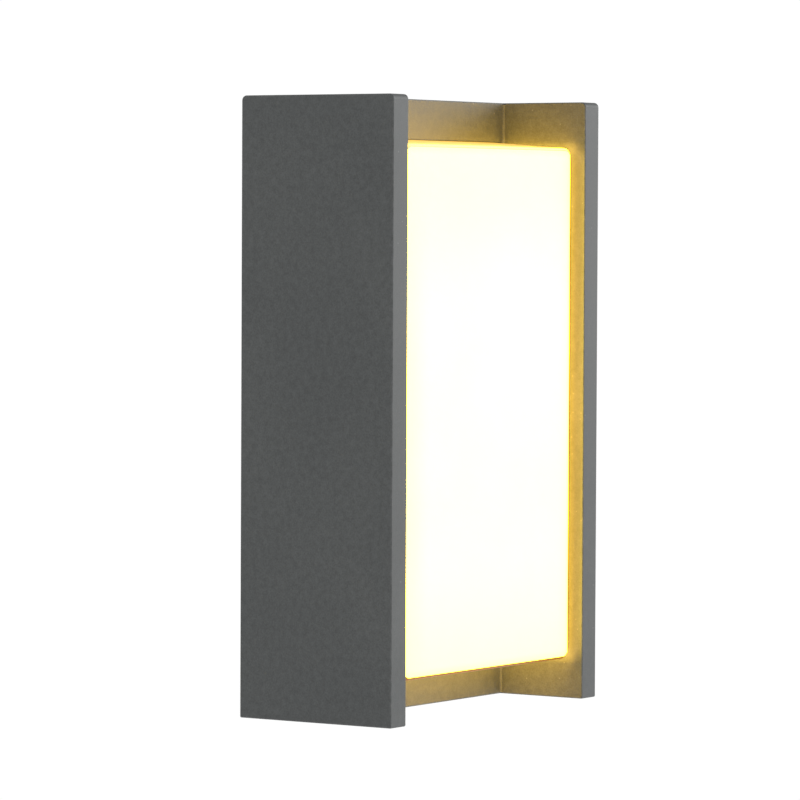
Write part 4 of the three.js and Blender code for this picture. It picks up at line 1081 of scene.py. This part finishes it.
placingTreeGroup = placingTree()
zincLook = (colour(0.62, 0.64, 0.66), colour(0.55, 0.56, 0.5))
steelLook = (colour(0.6, 0.6, 0.6), colour(0.5, 0.49, 0.47))
evenStretch = (1, 1, 1)
screwZinc = platedMetal("zincScrew", *zincLook, *everywhere(), evenStretch, 0.26)
screwSteel = platedMetal("stainlessScrew", *steelLook, *everywhere(), evenStretch, 0.22)
screws("panelScrews", "panel", panelScrewNodes)
screws("diffuserScrews", "diffuser", diffuserScrewNodes)
screws("ledBoardScrews", "board", boardScrewNodes)
screws("driverScrews", "driver", driverScrewNodes)
screws("terminalScrews", "terminal", terminalScrewNodes)
screws("earthScrew", "earth", ["earth_screw"])
screws("fixingScrews", "fixing", ["top_fixing_screw", "bottom_fixing_screw"])
print("stage: screws")


# cup and gel are profiles of (radius, height above the board)
ledShape = {
    "columns": 3, "rows": 6, "pitchX": 30, "pitchZ": 29, "size": 3, "rise": 0.8, "packageRadius": 0.3,
    "packageEdge": 0.12, "packageSteps": 4, "boardThickness": 1.6, "cornerRadius": 2, "window": 4.6,
    "windowRadius": 0.8, "windowSteps": 4, "pad": (3.2, 2.5), "wirePitch": 2.8, "wireHole": 1.1,
    "wireSteps": 16, "screwHole": 1.8,
    "cup": [(0, 0.3), (1.05, 0.3), (1.25, 2), (0, 2)],
    "gel": [(0, 0.3), (1.04, 0.3), (1.12, 0.62), (0.6, 0.7), (0, 0.72)], "gelSteps": 20,
}


def ledParts():
    # board, rows of LEDs on it, and the reflector sheet with a window for each
    shape = ledShape
    low, high = nodeBox("led_board")
    boardFront = high.y - shape["boardThickness"]
    boardCentre = (low + high) / 2
    bush = nodeCentre("led_wire_bush")
    board = prism("ledBoard", "y", insetOutline(low, high, 0, shape["cornerRadius"]), boardFront, high.y)
    tools = rodsAt(boardScrewNodes, shape["screwHole"], boardFront - past, high.y + past)
    for side in (-1, 1):
        at = (bush.x + side * shape["wirePitch"] / 2, bush.z)
        tools.append(rod("y", at, shape["wireHole"], boardFront - past, high.y + past, shape["wireSteps"]))
    combine(board, tools)
    maskLook = circuitBoard("ledBoardMask", colour(0.82, 0.82, 0.79), colour(0.75, 0.75, 0.72),
                            colour(0.62, 0.6, 0.52))
    dress(board, maskLook, ["led_board"], "board_white")

    half = shape["size"] / 2
    square = centredOutline(0, 0, half, half, shape["packageRadius"], shape["packageSteps"])
    package = soften(prism("package", "z", square, 0, shape["rise"]), shape["packageEdge"], 1)
    combine(package, [turned("cup", shape["cup"], "z")])
    gel = turned("phosphor", shape["gel"], "z", steps=shape["gelSteps"])
    sizes = {
        "Columns": shape["columns"], "Rows": shape["rows"],
        "Width": (shape["columns"] - 1) * shape["pitchX"] * mm,
        "Height": (shape["rows"] - 1) * shape["pitchZ"] * mm,
        "Centre": Vector((boardCentre.x, boardFront, boardCentre.z)) * mm,
    }
    tree = gridTree()
    frameLook = mouldedPlastic("ledFrame", colour(0.8, 0.8, 0.78), colour(0.72, 0.72, 0.7),
                               *everywhere(), 0.4)
    gelLook = mouldedPlastic("ledPhosphorGel", colour(0.85, 0.62, 0.12), colour(0.78, 0.52, 0.08),
                             *everywhere(), 0.25, 3000)
    for name, piece, look in (("ledPackages", package, frameLook), ("ledPhosphor", gel, gelLook)):
        start = objectFrom(name, bpy.data.meshes.new(name))
        made = runTree(start, tree, {"Piece": piece, "Finish": look, **sizes})
        discard(piece)
        dress(made, None, ["led_board"], "board_white")

    low, high = nodeBox("reflector_sheet")
    sheet = prism("reflectorSheet", "y", insetOutline(low, high, 0, shape["cornerRadius"]), low.y, high.y)
    window = shape["window"] / 2

    def opening(x, z, halfX, halfZ):
        corners = centredOutline(x, z, halfX, halfZ, shape["windowRadius"], shape["windowSteps"])
        return prism("window", "y", corners, low.y - past, high.y + past)

    tools = [opening(x, bush.z + z, window, window) for x in spacedOut(shape["columns"], shape["pitchX"])
             for z in spacedOut(shape["rows"], shape["pitchZ"])]
    tools += rodsAt(boardScrewNodes, shape["screwHole"], low.y - past, high.y + past)
    tools.append(opening(bush.x, bush.z, *shape["pad"]))
    combine(sheet, tools)
    film = mouldedPlastic("reflectorFilm", colour(0.88, 0.88, 0.86), colour(0.82, 0.82, 0.8), low, high, 0.6)
    dress(sheet, film, ["reflector_sheet"], "reflector_white")


# profiles of (radius, distance from the bush's front end) and (radius, distance from its rear end)
bushShape = {
    "front": [(0, 0), (3.7, 0), (4, 0.3)],
    "rear": [(4, 1.2), (5.4, 1.2), (5.6, 1.0), (5.6, 0.5), (5.1, 0.1), (4.6, 0), (2.9, 0), (2.5, 0.4),
             (0, 0.4)],
    "steps": 36, "boreSteps": 20,
}


def wireBush():
    shape = bushShape
    low, high = nodeBox("led_wire_bush")
    x, z = screwSpots(["led_wire_bush"])[0]
    profile = [(radius, low.y + along) for radius, along in shape["front"]]
    profile += [(radius, high.y - along) for radius, along in shape["rear"]]
    bush = turned("ledWireBush", profile, "y", (x, z), shape["steps"])
    bores = []
    for side in (-1, 1):
        at = (x + side * ledShape["wirePitch"] / 2, z)
        bores.append(rod("y", at, ledShape["wireHole"], low.y - past, high.y + past, shape["boreSteps"]))
    combine(bush, bores)
    look = mouldedPlastic("bushRubber", colour(0.022, 0.022, 0.024), colour(0.035, 0.035, 0.037), low, high,
                          0.65, light=0.04)
    dress(bush, look, ["led_wire_bush"], "black_rubber")


ledParts()
wireBush()
print("stage: LED board")


driverShape = {
    "wall": 1.6, "cornerRadius": 3, "roomRadius": 1.5, "lip": 2, "lipGap": 0.2, "lipRadius": 1.3,
    "lipWall": 1.2, "lipRoomRadius": 1, "lipLap": 0.5, "gap": 0.1, "wireRadius": 1.2, "earThickness": 2.6,
    "earWidth": 11, "earRadius": 2.2, "earHole": 1.9, "edge": 0.4, "mainsHole": 1.7, "ledHole": 1.3,
    "mainsRise": 3.2, "ledRise": 2.4, "holeReach": 4, "ribs": 3, "ribWidth": 1.6, "ribMargin": 6,
    "ribHeight": 0.5, "ribLap": 0.3, "ribRadius": 0.7, "ribSteps": 5,
}


def driver():
    # case with an ear at each end, and a ribbed lid whose lip goes into it
    shape = driverShape
    low, high = nodeBox("driver_case")
    coverLow, coverHigh = nodeBox("driver_cover")
    wall = shape["wall"]
    centreZ = (coverLow.z + coverHigh.z) / 2
    left, right = coverLow.x, coverHigh.x

    def outline(inset, radius):
        return insetOutline(coverLow, coverHigh, inset, radius)

    case = prism("driverCase", "y", outline(0, shape["cornerRadius"]), low.y, high.y)
    soften(case, shape["edge"])
    combine(case, [prism("room", "y", outline(wall, shape["roomRadius"]), low.y + wall, high.y + past)])
    ears = []
    halfWidth = shape["earWidth"] / 2
    for ends in ((low.x, left + wall / 2), (right - wall / 2, high.x)):
        corners = roundedOutline(*ends, centreZ - halfWidth, centreZ + halfWidth, shape["earRadius"])
        ears.append(prism("ear", "y", corners, low.y, low.y + shape["earThickness"]))
    combine(case, ears, "UNION")
    reach = shape["holeReach"]
    tools = rodsAt(driverScrewNodes, shape["earHole"], low.y - past, low.y + reach)
    wireY = nodeBox("line_wire")[1].y - shape["wireRadius"]
    for sign in (-1, 1):
        mains = (wireY, centreZ + sign * shape["mainsRise"])
        led = (wireY, centreZ + sign * shape["ledRise"])
        tools.append(rod("x", mains, shape["mainsHole"], right - reach, right + past))
        tools.append(rod("x", led, shape["ledHole"], left - past, left + reach))
    combine(case, tools)
    plastic = (colour(0.78, 0.78, 0.75), colour(0.7, 0.7, 0.67), coverLow, coverHigh)
    dress(case, mouldedPlastic("driverPlastic", *plastic), ["driver_case"], "white_plastic")

    top = coverHigh.y - shape["ribHeight"]
    lidLow = high.y + shape["gap"]
    lipLow = lidLow - shape["lip"]
    lipInset = wall + shape["lipGap"]
    cover = soften(prism("driverCover", "y", outline(0, shape["cornerRadius"]), lidLow, top), shape["edge"])
    lip = prism("lip", "y", outline(lipInset, shape["lipRadius"]), lipLow, top - shape["lipLap"])
    room = outline(lipInset + shape["lipWall"], shape["lipRoomRadius"])
    combine(lip, [prism("lipRoom", "y", room, lipLow - past, lidLow)])
    half = shape["ribWidth"] / 2
    ribs = []
    for x in spacedOut(shape["ribs"], (right - left) / (shape["ribs"] + 1)):
        ends = (coverLow.z + shape["ribMargin"], coverHigh.z - shape["ribMargin"])
        corners = roundedOutline(x - half, x + half, *ends, shape["ribRadius"], steps=shape["ribSteps"])
        ribs.append(prism("rib", "y", corners, top - shape["ribLap"], coverHigh.y))
    combine(cover, [lip, *ribs], "UNION")
    dress(cover, mouldedPlastic("driverLidPlastic", *plastic), ["driver_cover"], "white_plastic")


driver()
print("stage: driver")


terminalShape = {
    "skin": 2, "chamber": 5.6, "entryRadius": 1.8, "funnel": 0.9, "entryDepth": 6.5, "well": 2.65,
    "wellRadius": 0.6, "wellSteps": 4, "cornerRadius": 1, "edge": 0.35, "screwHole": 1.35, "headHole": 2.3,
    "seatDepth": 1.6, "grooveWidth": 0.8, "grooveDepth": 0.6,
}
poles = ["earth", "neutral", "line"]


def terminalBlock():
    # for each pole a chamber, a wire entry through it and a well for its button
    shape = terminalShape
    low, high = nodeBox("terminal_block")
    outline = insetOutline(low, high, 0, shape["cornerRadius"])
    body = soften(prism("terminalBlock", "y", outline, low.y, high.y), shape["edge"])
    top = high.y + past
    skin, radius, funnel, well = [shape[key] for key in ("skin", "entryRadius", "funnel", "well")]
    flare = radius + funnel
    half = shape["chamber"] / 2
    chambers = []
    cuts = []
    for pole in poles:
        button = nodeCentre(f"{pole}_release_button")
        chambers.append(block("chamber", (button.x - half, low.y + skin, low.z + skin),
                              (button.x + half, high.y - skin, high.z - skin)))
        profile = [(0, low.z - past), (flare, low.z - past), (flare, low.z), (radius, low.z + funnel),
                   (radius, high.z - funnel), (flare, high.z), (flare, high.z + past), (0, high.z + past)]
        cuts.append(turned("entry", profile, "z", (button.x, low.y + shape["entryDepth"])))
        corners = centredOutline(button.x, button.z, well, well, shape["wellRadius"], shape["wellSteps"])
        cuts.append(prism("well", "y", corners, high.y - skin - past, top))
    combine(body, chambers)
    half = shape["grooveWidth"] / 2
    for x, z in screwSpots(terminalScrewNodes):
        cuts.append(rod("y", (x, z), shape["screwHole"], low.y - past, top))
        cuts.append(rod("y", (x, z), shape["headHole"], high.y - shape["seatDepth"], top))
        cuts.append(block("split", (x - half, high.y - shape["grooveDepth"], low.z - past),
                          (x + half, top, high.z + past)))
    combine(body, cuts)
    look = mouldedPlastic("terminalPolyamide", colour(0.46, 0.48, 0.46), colour(0.38, 0.4, 0.385), low, high)
    dress(body, look, ["terminal_block"], "grey_plastic")


buttonShape = {
    "size": 4.8, "cornerRadius": 0.5, "stemSteps": 6, "shoulder": 0.25, "shoulderHeight": 1.2,
    "shoulderDrop": 4.3, "shoulderSteps": 4, "notchWidth": 1.0, "notchDepth": 0.6, "notchReach": 5,
    "edge": 0.25,
}


def releaseButtons():
    shape = buttonShape
    half = shape["size"] / 2
    wide = half + shape["shoulder"]
    grip = shape["notchWidth"] / 2
    reach = shape["notchReach"]
    radius = shape["cornerRadius"]
    for pole in poles:
        node = f"{pole}_release_button"
        low, high = nodeBox(node)
        centre = (low + high) / 2
        outline = centredOutline(centre.x, centre.z, half, half, radius, shape["stemSteps"])
        stem = soften(prism(f"{pole}ReleaseButton", "y", outline, low.y, high.y), shape["edge"])
        shoulderTop = high.y - shape["shoulderDrop"]
        outline = centredOutline(centre.x, centre.z, wide, wide, radius, shape["shoulderSteps"])
        shoulder = prism("shoulder", "y", outline, shoulderTop - shape["shoulderHeight"], shoulderTop)
        combine(stem, [shoulder], "UNION")
        combine(stem, [block("notch", (centre.x - reach, high.y - shape["notchDepth"], centre.z - grip),
                             (centre.x + reach, high.y + past, centre.z + grip))])
        look = mouldedPlastic(f"{pole}ButtonPolyamide", colour(0.68, 0.19, 0.03), colour(0.58, 0.15, 0.02),
                              low, high)
        dress(stem, look, [node], "orange_plastic", f"{pole}_button")


lugShape = {
    "thickness": 0.8, "radius": 4.2, "barrelLength": 6.5, "bore": 1.7, "barrel": 2.3, "hole": 2.3,
    "neckShare": 0.7, "neckLap": 2, "crimpDepth": 0.25, "crimpHalf": 0.5, "crimpEnd": 1, "roomGap": 0.4,
    "roomHeight": 8, "steps": 40,
}


def earthLug(tinned):
    # flat ring with a crimped barrel; the room above the ring is for the screw's head
    shape = lugShape
    low, high = nodeBox("earth_lug")
    x = (low.x + high.x) / 2
    z = high.z - shape["radius"]
    top = low.y + shape["thickness"]
    barrel = shape["barrel"]
    barrelTop = low.z + shape["barrelLength"]
    barrelY = low.y + barrel
    ring = rod("y", (x, z), shape["radius"], low.y, top, shape["steps"])
    ring.name = "earthLug"
    neckHalf = barrel * shape["neckShare"]
    neck = block("neck", (x - neckHalf, low.y, barrelTop - past), (x + neckHalf, top, z - shape["neckLap"]))
    middle = (low.z + barrelTop) / 2
    waist = barrel - shape["crimpDepth"]
    profile = [(0, low.z), (barrel, low.z), (barrel, middle - shape["crimpEnd"]),
               (waist, middle - shape["crimpHalf"]), (waist, middle + shape["crimpHalf"]),
               (barrel, middle + shape["crimpEnd"]), (barrel, barrelTop), (0, barrelTop)]
    combine(ring, [neck, turned("barrel", profile, "z", (x, barrelY))], "UNION")
    roomRadius = shape["radius"] + shape["roomGap"]
    combine(ring, [rod("y", (x, z), roomRadius, top, top + shape["roomHeight"], shape["steps"])])
    hole = rod("y", (x, z), shape["hole"], low.y - past, top + past)
    bore = rod("z", (x, barrelY), shape["bore"], low.z - past, barrelTop - past)
    combine(ring, [hole, bore])
    dress(ring, tinned, ["earth_lug"], "tinned_copper")
    return x, z


# a tooth goes through these (share of a tooth's turn, radius)
washerShape = {"teeth": 12, "tooth": [(-0.25, 3.4), (-0.12, 3.9), (0.12, 3.9), (0.25, 3.4)]}


def earthParts():
    low, high = nodeBox("earth_lug")
    tinned = platedMetal("tinnedCopper", colour(0.62, 0.5, 0.38), colour(0.5, 0.38, 0.27), low, high,
                         evenStretch)
    x, z = earthLug(tinned)
    for pole in poles:
        coatCadNode(f"{pole}_contact", tinned)

    low, high = nodeBox("earth_washer")
    outline = []
    for tooth in range(washerShape["teeth"]):
        for share, radius in washerShape["tooth"]:
            angle = 2 * math.pi * (tooth + share) / washerShape["teeth"]
            outline.append((x + radius * math.cos(angle), z + radius * math.sin(angle)))
    washer = prism("earthWasher", "y", outline, low.y, high.y)
    combine(washer, [rod("y", (x, z), lugShape["hole"], low.y - past, high.y + past)])
    look = platedMetal("stainlessWasher", *steelLook, low, high, evenStretch)
    dress(washer, look, ["earth_washer"], "stainless")


terminalBlock()
releaseButtons()
earthParts()
print("stage: terminals")


# the routes of the part's own wires, in millimetres
wireRoutes = {
    "lineWire": {
        "node": "line_wire", "slot": "brown_wire", "radius": 1.2, "finish": "brownInsulation",
        "colours": [colour(0.15, 0.05, 0.018)], "points": [
            (44, -18, -47), (44, -18, -41), (49.65, -18, -34), (55.3, -17, -21), (55.3, -11.6, 26),
            (55.3, -10.6, 53.2), (53.76, -10.6, 57.8), (50.15, -10.6, 59.9), (47.27, -10.6, 60.2),
            (45, -10.6, 60.2), (42.4, -10.6, 60.2),
        ]},
    "neutralWire": {
        "node": "neutral_wire", "slot": "blue_wire", "radius": 1.2, "finish": "blueInsulation",
        "colours": [colour(0.02, 0.1, 0.4)], "points": [
            (35, -18, -47), (35, -18, -41), (43.55, -18, -34), (52.1, -17, -21), (52.1, -11.6, 26),
            (52.1, -10.6, 46.8), (51.04, -10.6, 51.4), (48.55, -10.6, 53.5), (46.56, -10.6, 53.8),
            (45, -10.6, 53.8), (42.4, -10.6, 53.8),
        ]},
    "earthWire": {
        "node": "earth_wire", "slot": "earth_wire_green", "radius": 1.2, "finish": "greenYellowInsulation",
        "colours": [colour(0.05, 0.25, 0.03), colour(0.75, 0.6, 0.03)], "points": [
            (26, -18, -47), (26, -18, -41.19), (26.6, -17.2, -36.11), (24, -20.1, -23.41),
            (24, -20.1, -19.6), (24, -20.1, -14.7),
        ]},
    "ledPlusWire": {
        "node": "led_plus_wire", "slot": "red_wire", "radius": 0.8, "finish": "redInsulation",
        "colours": [colour(0.5, 0.018, 0.01)], "points": [
            (-42.4, -10.6, 59.4), (-47, -10.6, 59.4), (-51.9, -10.6, 57), (-53.4, -10.6, 50.4),
            (-52.4, -12.6, 32), (-41.4, -19.5, 3), (-37.4, -20.5, -0.2), (-32.6, -22.3, -1),
            (-31.4, -24.9, -1), (-31.4, -27.5, -1), (-31.4, -33, -1),
        ]},
    "ledMinusWire": {
        "node": "led_minus_wire", "slot": "black_wire", "radius": 0.8, "finish": "blackInsulation",
        "colours": [colour(0.018, 0.018, 0.02)], "points": [
            (-42.4, -10.6, 54.6), (-47, -10.6, 54.6), (-49.1, -10.6, 52.2), (-50.6, -10.6, 45.6),
            (-49.6, -12.6, 32), (-38.6, -16.7, 3), (-34.6, -17.7, -0.2), (-29.8, -19.5, -1),
            (-28.6, -24.9, -1), (-28.6, -27.5, -1), (-28.6, -33, -1),
        ]},
}
wireShape = {"routeSteps": 10, "shortest": 1e-6, "step": 0.9, "sides": 14}


def smoothRoute(points):
    # centripetal curve through every point, as the part draws it
    steps = wireShape["routeSteps"]
    shortest = wireShape["shortest"]
    route = [Vector(p) for p in points]
    route = [2 * route[0] - route[1], *route, 2 * route[-1] - route[-2]]
    smooth = []
    for p0, p1, p2, p3 in zip(route, route[1:], route[2:], route[3:]):
        t1 = max((p1 - p0).length, shortest) ** 0.5
        t2 = t1 + max((p2 - p1).length, shortest) ** 0.5
        t3 = t2 + max((p3 - p2).length, shortest) ** 0.5
        for step in range(steps):
            t = t1 + (t2 - t1) * step / steps
            a1 = p0.lerp(p1, t / t1)
            a2 = p1.lerp(p2, (t - t1) / (t2 - t1))
            a3 = p2.lerp(p3, (t - t2) / (t3 - t2))
            b1 = a1.lerp(a2, t / t2)
            b2 = a2.lerp(a3, (t - t1) / (t3 - t1))
            smooth.append(b1.lerp(b2, (t - t1) / (t2 - t1)))
    smooth.append(route[-2])
    return smooth


def wires():
    tree = wireTree()
    looks = {name: wireInsulation(shape["finish"], *shape["colours"]) for name, shape in wireRoutes.items()}
    for name, shape in wireRoutes.items():
        curve = bpy.data.curves.new(name, "CURVE")
        curve.dimensions = "3D"
        spline = curve.splines.new("POLY")
        places = smoothRoute(shape["points"])
        spline.points.add(len(places) - 1)
        for point, at in zip(spline.points, places):
            point.co = (*(at * mm), 1)
        values = {"Radius": shape["radius"] * mm, "Step": wireShape["step"] * mm, "Sides": wireShape["sides"]}
        made = runTree(objectFrom(name, curve), tree, {**values, "Finish": looks[name]})
        dress(made, None, [shape["node"]], shape["slot"], smooth=60)


wires()
print("stage: wires")


bracketShape = {
    "thickness": 2, "bendRadius": 2.6, "outerSteps": 8, "innerSteps": 4, "tabWidth": 28, "slotWidth": 5,
    "slotLength": 16, "slotSpacing": 110, "crossSpacing": 160, "slotFlat": 0.01, "screwHole": 2.15,
    "tabReach": 5, "sideReach": 10, "edge": 0.3,
}


def wallBracket():
    # strap with bent tabs at its ends and a slot each way near both ends
    shape = bracketShape
    low, high = nodeBox("wall_bracket")
    outer = shape["bendRadius"]
    thick = shape["thickness"]
    inner = outer - thick
    top, bottom, front = high.z, low.z, low.y
    upperBend = (-outer, top - outer)
    lowerBend = (-outer, bottom + outer)
    profile = [
        (front, top), *arcPoints(upperBend, outer, 90, 0, shape["outerSteps"]),
        *arcPoints(lowerBend, outer, 0, -90, shape["outerSteps"]), (front, bottom), (front, bottom + thick),
        *arcPoints(lowerBend, inner, -90, 0, shape["innerSteps"]),
        *arcPoints(upperBend, inner, 0, 90, shape["innerSteps"]), (front, top - thick),
    ]
    bracket = soften(prism("wallBracket", "x", profile, low.x, high.x), shape["edge"], 2)
    length, width = shape["slotLength"] / 2, shape["slotWidth"] / 2
    reach = shape["tabReach"]
    screwY = nodeCentre("top_fixing_screw").y
    tools = []
    for end, tab in ((-1, bottom), (1, top)):
        for halfX, halfZ, spacing in ((width, length, "slotSpacing"), (length, width, "crossSpacing")):
            corners = centredOutline(0, end * shape[spacing] / 2, halfX, halfZ, width - shape["slotFlat"])
            tools.append(prism("slot", "y", corners, -thick - past, past))
        tools.append(rod("z", (0, screwY), shape["screwHole"], tab - reach, tab + reach))
        for side in (-1, 1):
            edge = side * shape["tabWidth"] / 2
            ends = sorted((edge, edge + side * shape["sideReach"]))
            tools.append(block("shoulder", (ends[0], front - past, tab - reach),
                               (ends[1], -outer - past, tab + reach)))
    combine(bracket, tools)
    look = platedMetal("zincBracket", *zincLook, low, high, rough=0.28)
    dress(bracket, look, ["wall_bracket"], "zinc_steel")


foamShape = {
    "outerRadius": 0.8, "innerRadius": housingShape["cavityRadius"], "width": housingShape["wall"],
    "edge": 0.3,
}


def wallGasket():
    gasket = gasketFrame("wallGasket", "wall_gasket", foamShape)
    dress(gasket, foamRubber("closedCellFoam", *nodeBox("wall_gasket")), ["wall_gasket"], "foam")


driverBoardLook = circuitBoard("driverBoardMask", colour(0.03, 0.16, 0.06), colour(0.02, 0.11, 0.045),
                               colour(0.3, 0.25, 0.08))
coatCadNode("driver_board", driverBoardLook)
wallBracket()
wallGasket()
print("stage: bracket and gasket")


# in metres; back and right are the camera's own axes
stageShape = {
    "floorDrop": 0.9, "floorSize": 9, "floorGlow": 0.25, "floorRough": 0.9, "floorGrain": 60,
    "floorLight": colour(0.97, 0.97, 0.97), "floorDark": colour(0.94, 0.94, 0.94), "above": 0.74,
    "below": 1.14, "belowEnd": -0.5, "aboveFrom": 0.8, "backdrop": 1.02, "keySize": 1.4, "keyPower": 49,
    "keyPlace": (2.4, -1.5, 0.7), "lensWidth": 36, "lens": 212.2, "clip": (0.02, 60),
    "camera": (-1.55755, -1.0511, 0.07063), "back": (-0.83427, -0.5501, 0.03717),
    "right": (0.55062, -0.83475, 0.00453),
}


def stageFloor():
    shape = stageShape
    half = shape["floorSize"] / 2
    floorZ = cadBox[0].z - shape["floorDrop"]
    mesh = bpy.data.meshes.new("floor")
    corners = [(-half, -half, floorZ), (half, -half, floorZ), (half, half, floorZ), (-half, half, floorZ)]
    mesh.from_pydata(corners, [], [(0, 1, 2, 3)])
    floor = objectFrom("floor", mesh)
    material, tree, shader, place = newMaterial("paleFloor")
    grain = addGroup(tree, grainGroup, place, size=shape["floorGrain"], specks=0.0)
    tone = blendColour(tree, grain["Cloud"], shape["floorDark"], shape["floorLight"])
    tree.links.new(tone, shader.inputs["Base Color"])
    shader.inputs["Roughness"].default_value = shape["floorRough"]
    tree.links.new(tone, shader.inputs["Emission Color"])
    shader.inputs["Emission Strength"].default_value = shape["floorGlow"]
    mesh.materials.append(material)


def areaLight(name, size, power, place, direction, across, tint=(1, 1, 1)):
    # a rectangle that shines along direction, its first side along across, out of the camera's sight
    data = bpy.data.lights.new(name, "AREA")
    data.shape = "RECTANGLE"
    data.size, data.size_y = size
    data.energy = power
    data.color = tint
    light = objectFrom(name, data)
    aim(light, Vector(across).normalized(), -Vector(direction).normalized(), place)
    light.visible_camera = False


def aim(obj, right, back, place):
    up = back.cross(right)
    matrix = Matrix.Identity(4)
    for row in range(3):
        matrix[row][0], matrix[row][1], matrix[row][2] = right[row], up[row], back[row]
        matrix[row][3] = place[row]
    obj.matrix_world = matrix


# gaps in millimetres; side, top, bottom and edge are radiances
glowShape = {
    "tint": (1.0, 0.58, 0.05), "edgeTint": (1.0, 0.57, 0.14), "gap": 0.4, "endGap": 1.4, "webGap": 0.5,
    "side": 9.0, "top": 6.6, "bottom": 8.6, "edge": 64.0, "edgeFrom": 0.3, "edgeShort": 6.0, "edgeWidth": 3.5,
}


def glowStrips():
    # the light that leaves the diffuser's side walls, for the paint round it
    shape = glowShape
    low, high = nodeBox("diffuser")
    webFront = nodeBox("centre_housing")[0].y
    middleY = (low.y + webFront) / 2 + shape["webGap"] / 4
    depth = webFront - low.y - shape["webGap"]
    centreZ = (low.z + high.z) / 2
    halfX = high.x - diffuserShape["sideDraft"] / 2 + shape["gap"]
    halfZ = (high.z - low.z) / 2 - diffuserShape["endDraft"] / 2 + shape["endGap"]
    edge = shape["edgeWidth"]
    edgeY = low.y + edge / 2 + shape["edgeFrom"]
    edgeLength = 2 * halfZ - 2 * shape["edgeShort"]
    for name, at, direction, width, length, kind in (
        ("glowRight", (halfX, middleY, centreZ), (1, 0, 0), depth, 2 * halfZ, "side"),
        ("glowLeft", (-halfX, middleY, centreZ), (-1, 0, 0), depth, 2 * halfZ, "side"),
        ("glowTop", (0, middleY, centreZ + halfZ), (0, 0, 1), depth, 2 * halfX, "top"),
        ("glowBottom", (0, middleY, centreZ - halfZ), (0, 0, -1), depth, 2 * halfX, "bottom"),
        ("edgeRight", (halfX, edgeY, centreZ), (1, 0, 0), edge, edgeLength, "edge"),
        ("edgeLeft", (-halfX, edgeY, centreZ), (-1, 0, 0), edge, edgeLength, "edge"),
    ):
        size = (width * mm, length * mm)
        power = shape[kind] * math.pi * size[0] * size[1]
        tint = shape["edgeTint"] if kind == "edge" else shape["tint"]
        areaLight(name, size, power, Vector(at) * mm, direction, (0, 1, 0), tint)


def studioWorld():
    # even light, a little stronger from below, on a white backdrop
    shape = stageShape
    world = bpy.data.worlds.new("studio")
    world.use_nodes = True
    tree = world.node_tree
    tree.nodes.clear()
    upwards = split(tree, addNode(tree, "ShaderNodeTexCoord").outputs["Generated"])["Z"]
    strength = remap(tree, upwards, shape["belowEnd"], shape["aboveFrom"], shape["below"], shape["above"])
    white = colour(1, 1, 1)
    light = addNode(tree, "ShaderNodeBackground", {"Color": white, "Strength": strength})
    seen = addNode(tree, "ShaderNodeBackground", {"Color": white, "Strength": shape["backdrop"]})
    path = addNode(tree, "ShaderNodeLightPath")
    mixed = addNode(tree, "ShaderNodeMixShader", {
        0: path.outputs["Is Camera Ray"], 1: light.outputs[0], 2: seen.outputs[0],
    })
    addNode(tree, "ShaderNodeOutputWorld", {"Surface": mixed.outputs[0]})
    return world


def lightsAndCamera():
    shape = stageShape
    scene = bpy.context.scene
    scene.world = studioWorld()
    scene.view_settings.view_transform = "Standard"
    key = Vector(shape["keyPlace"])
    areaLight("key", (shape["keySize"], shape["keySize"]), shape["keyPower"], key, -key, key.cross((0, 0, 1)))
    glowStrips()
    data = bpy.data.cameras.new("camera")
    data.sensor_width = shape["lensWidth"]
    data.lens = shape["lens"]
    data.clip_start, data.clip_end = shape["clip"]
    camera = objectFrom("camera", data)
    aim(camera, Vector(shape["right"]), Vector(shape["back"]), shape["camera"])
    scene.camera = camera


stageFloor()
lightsAndCamera()
print("stage: floor, light and camera")
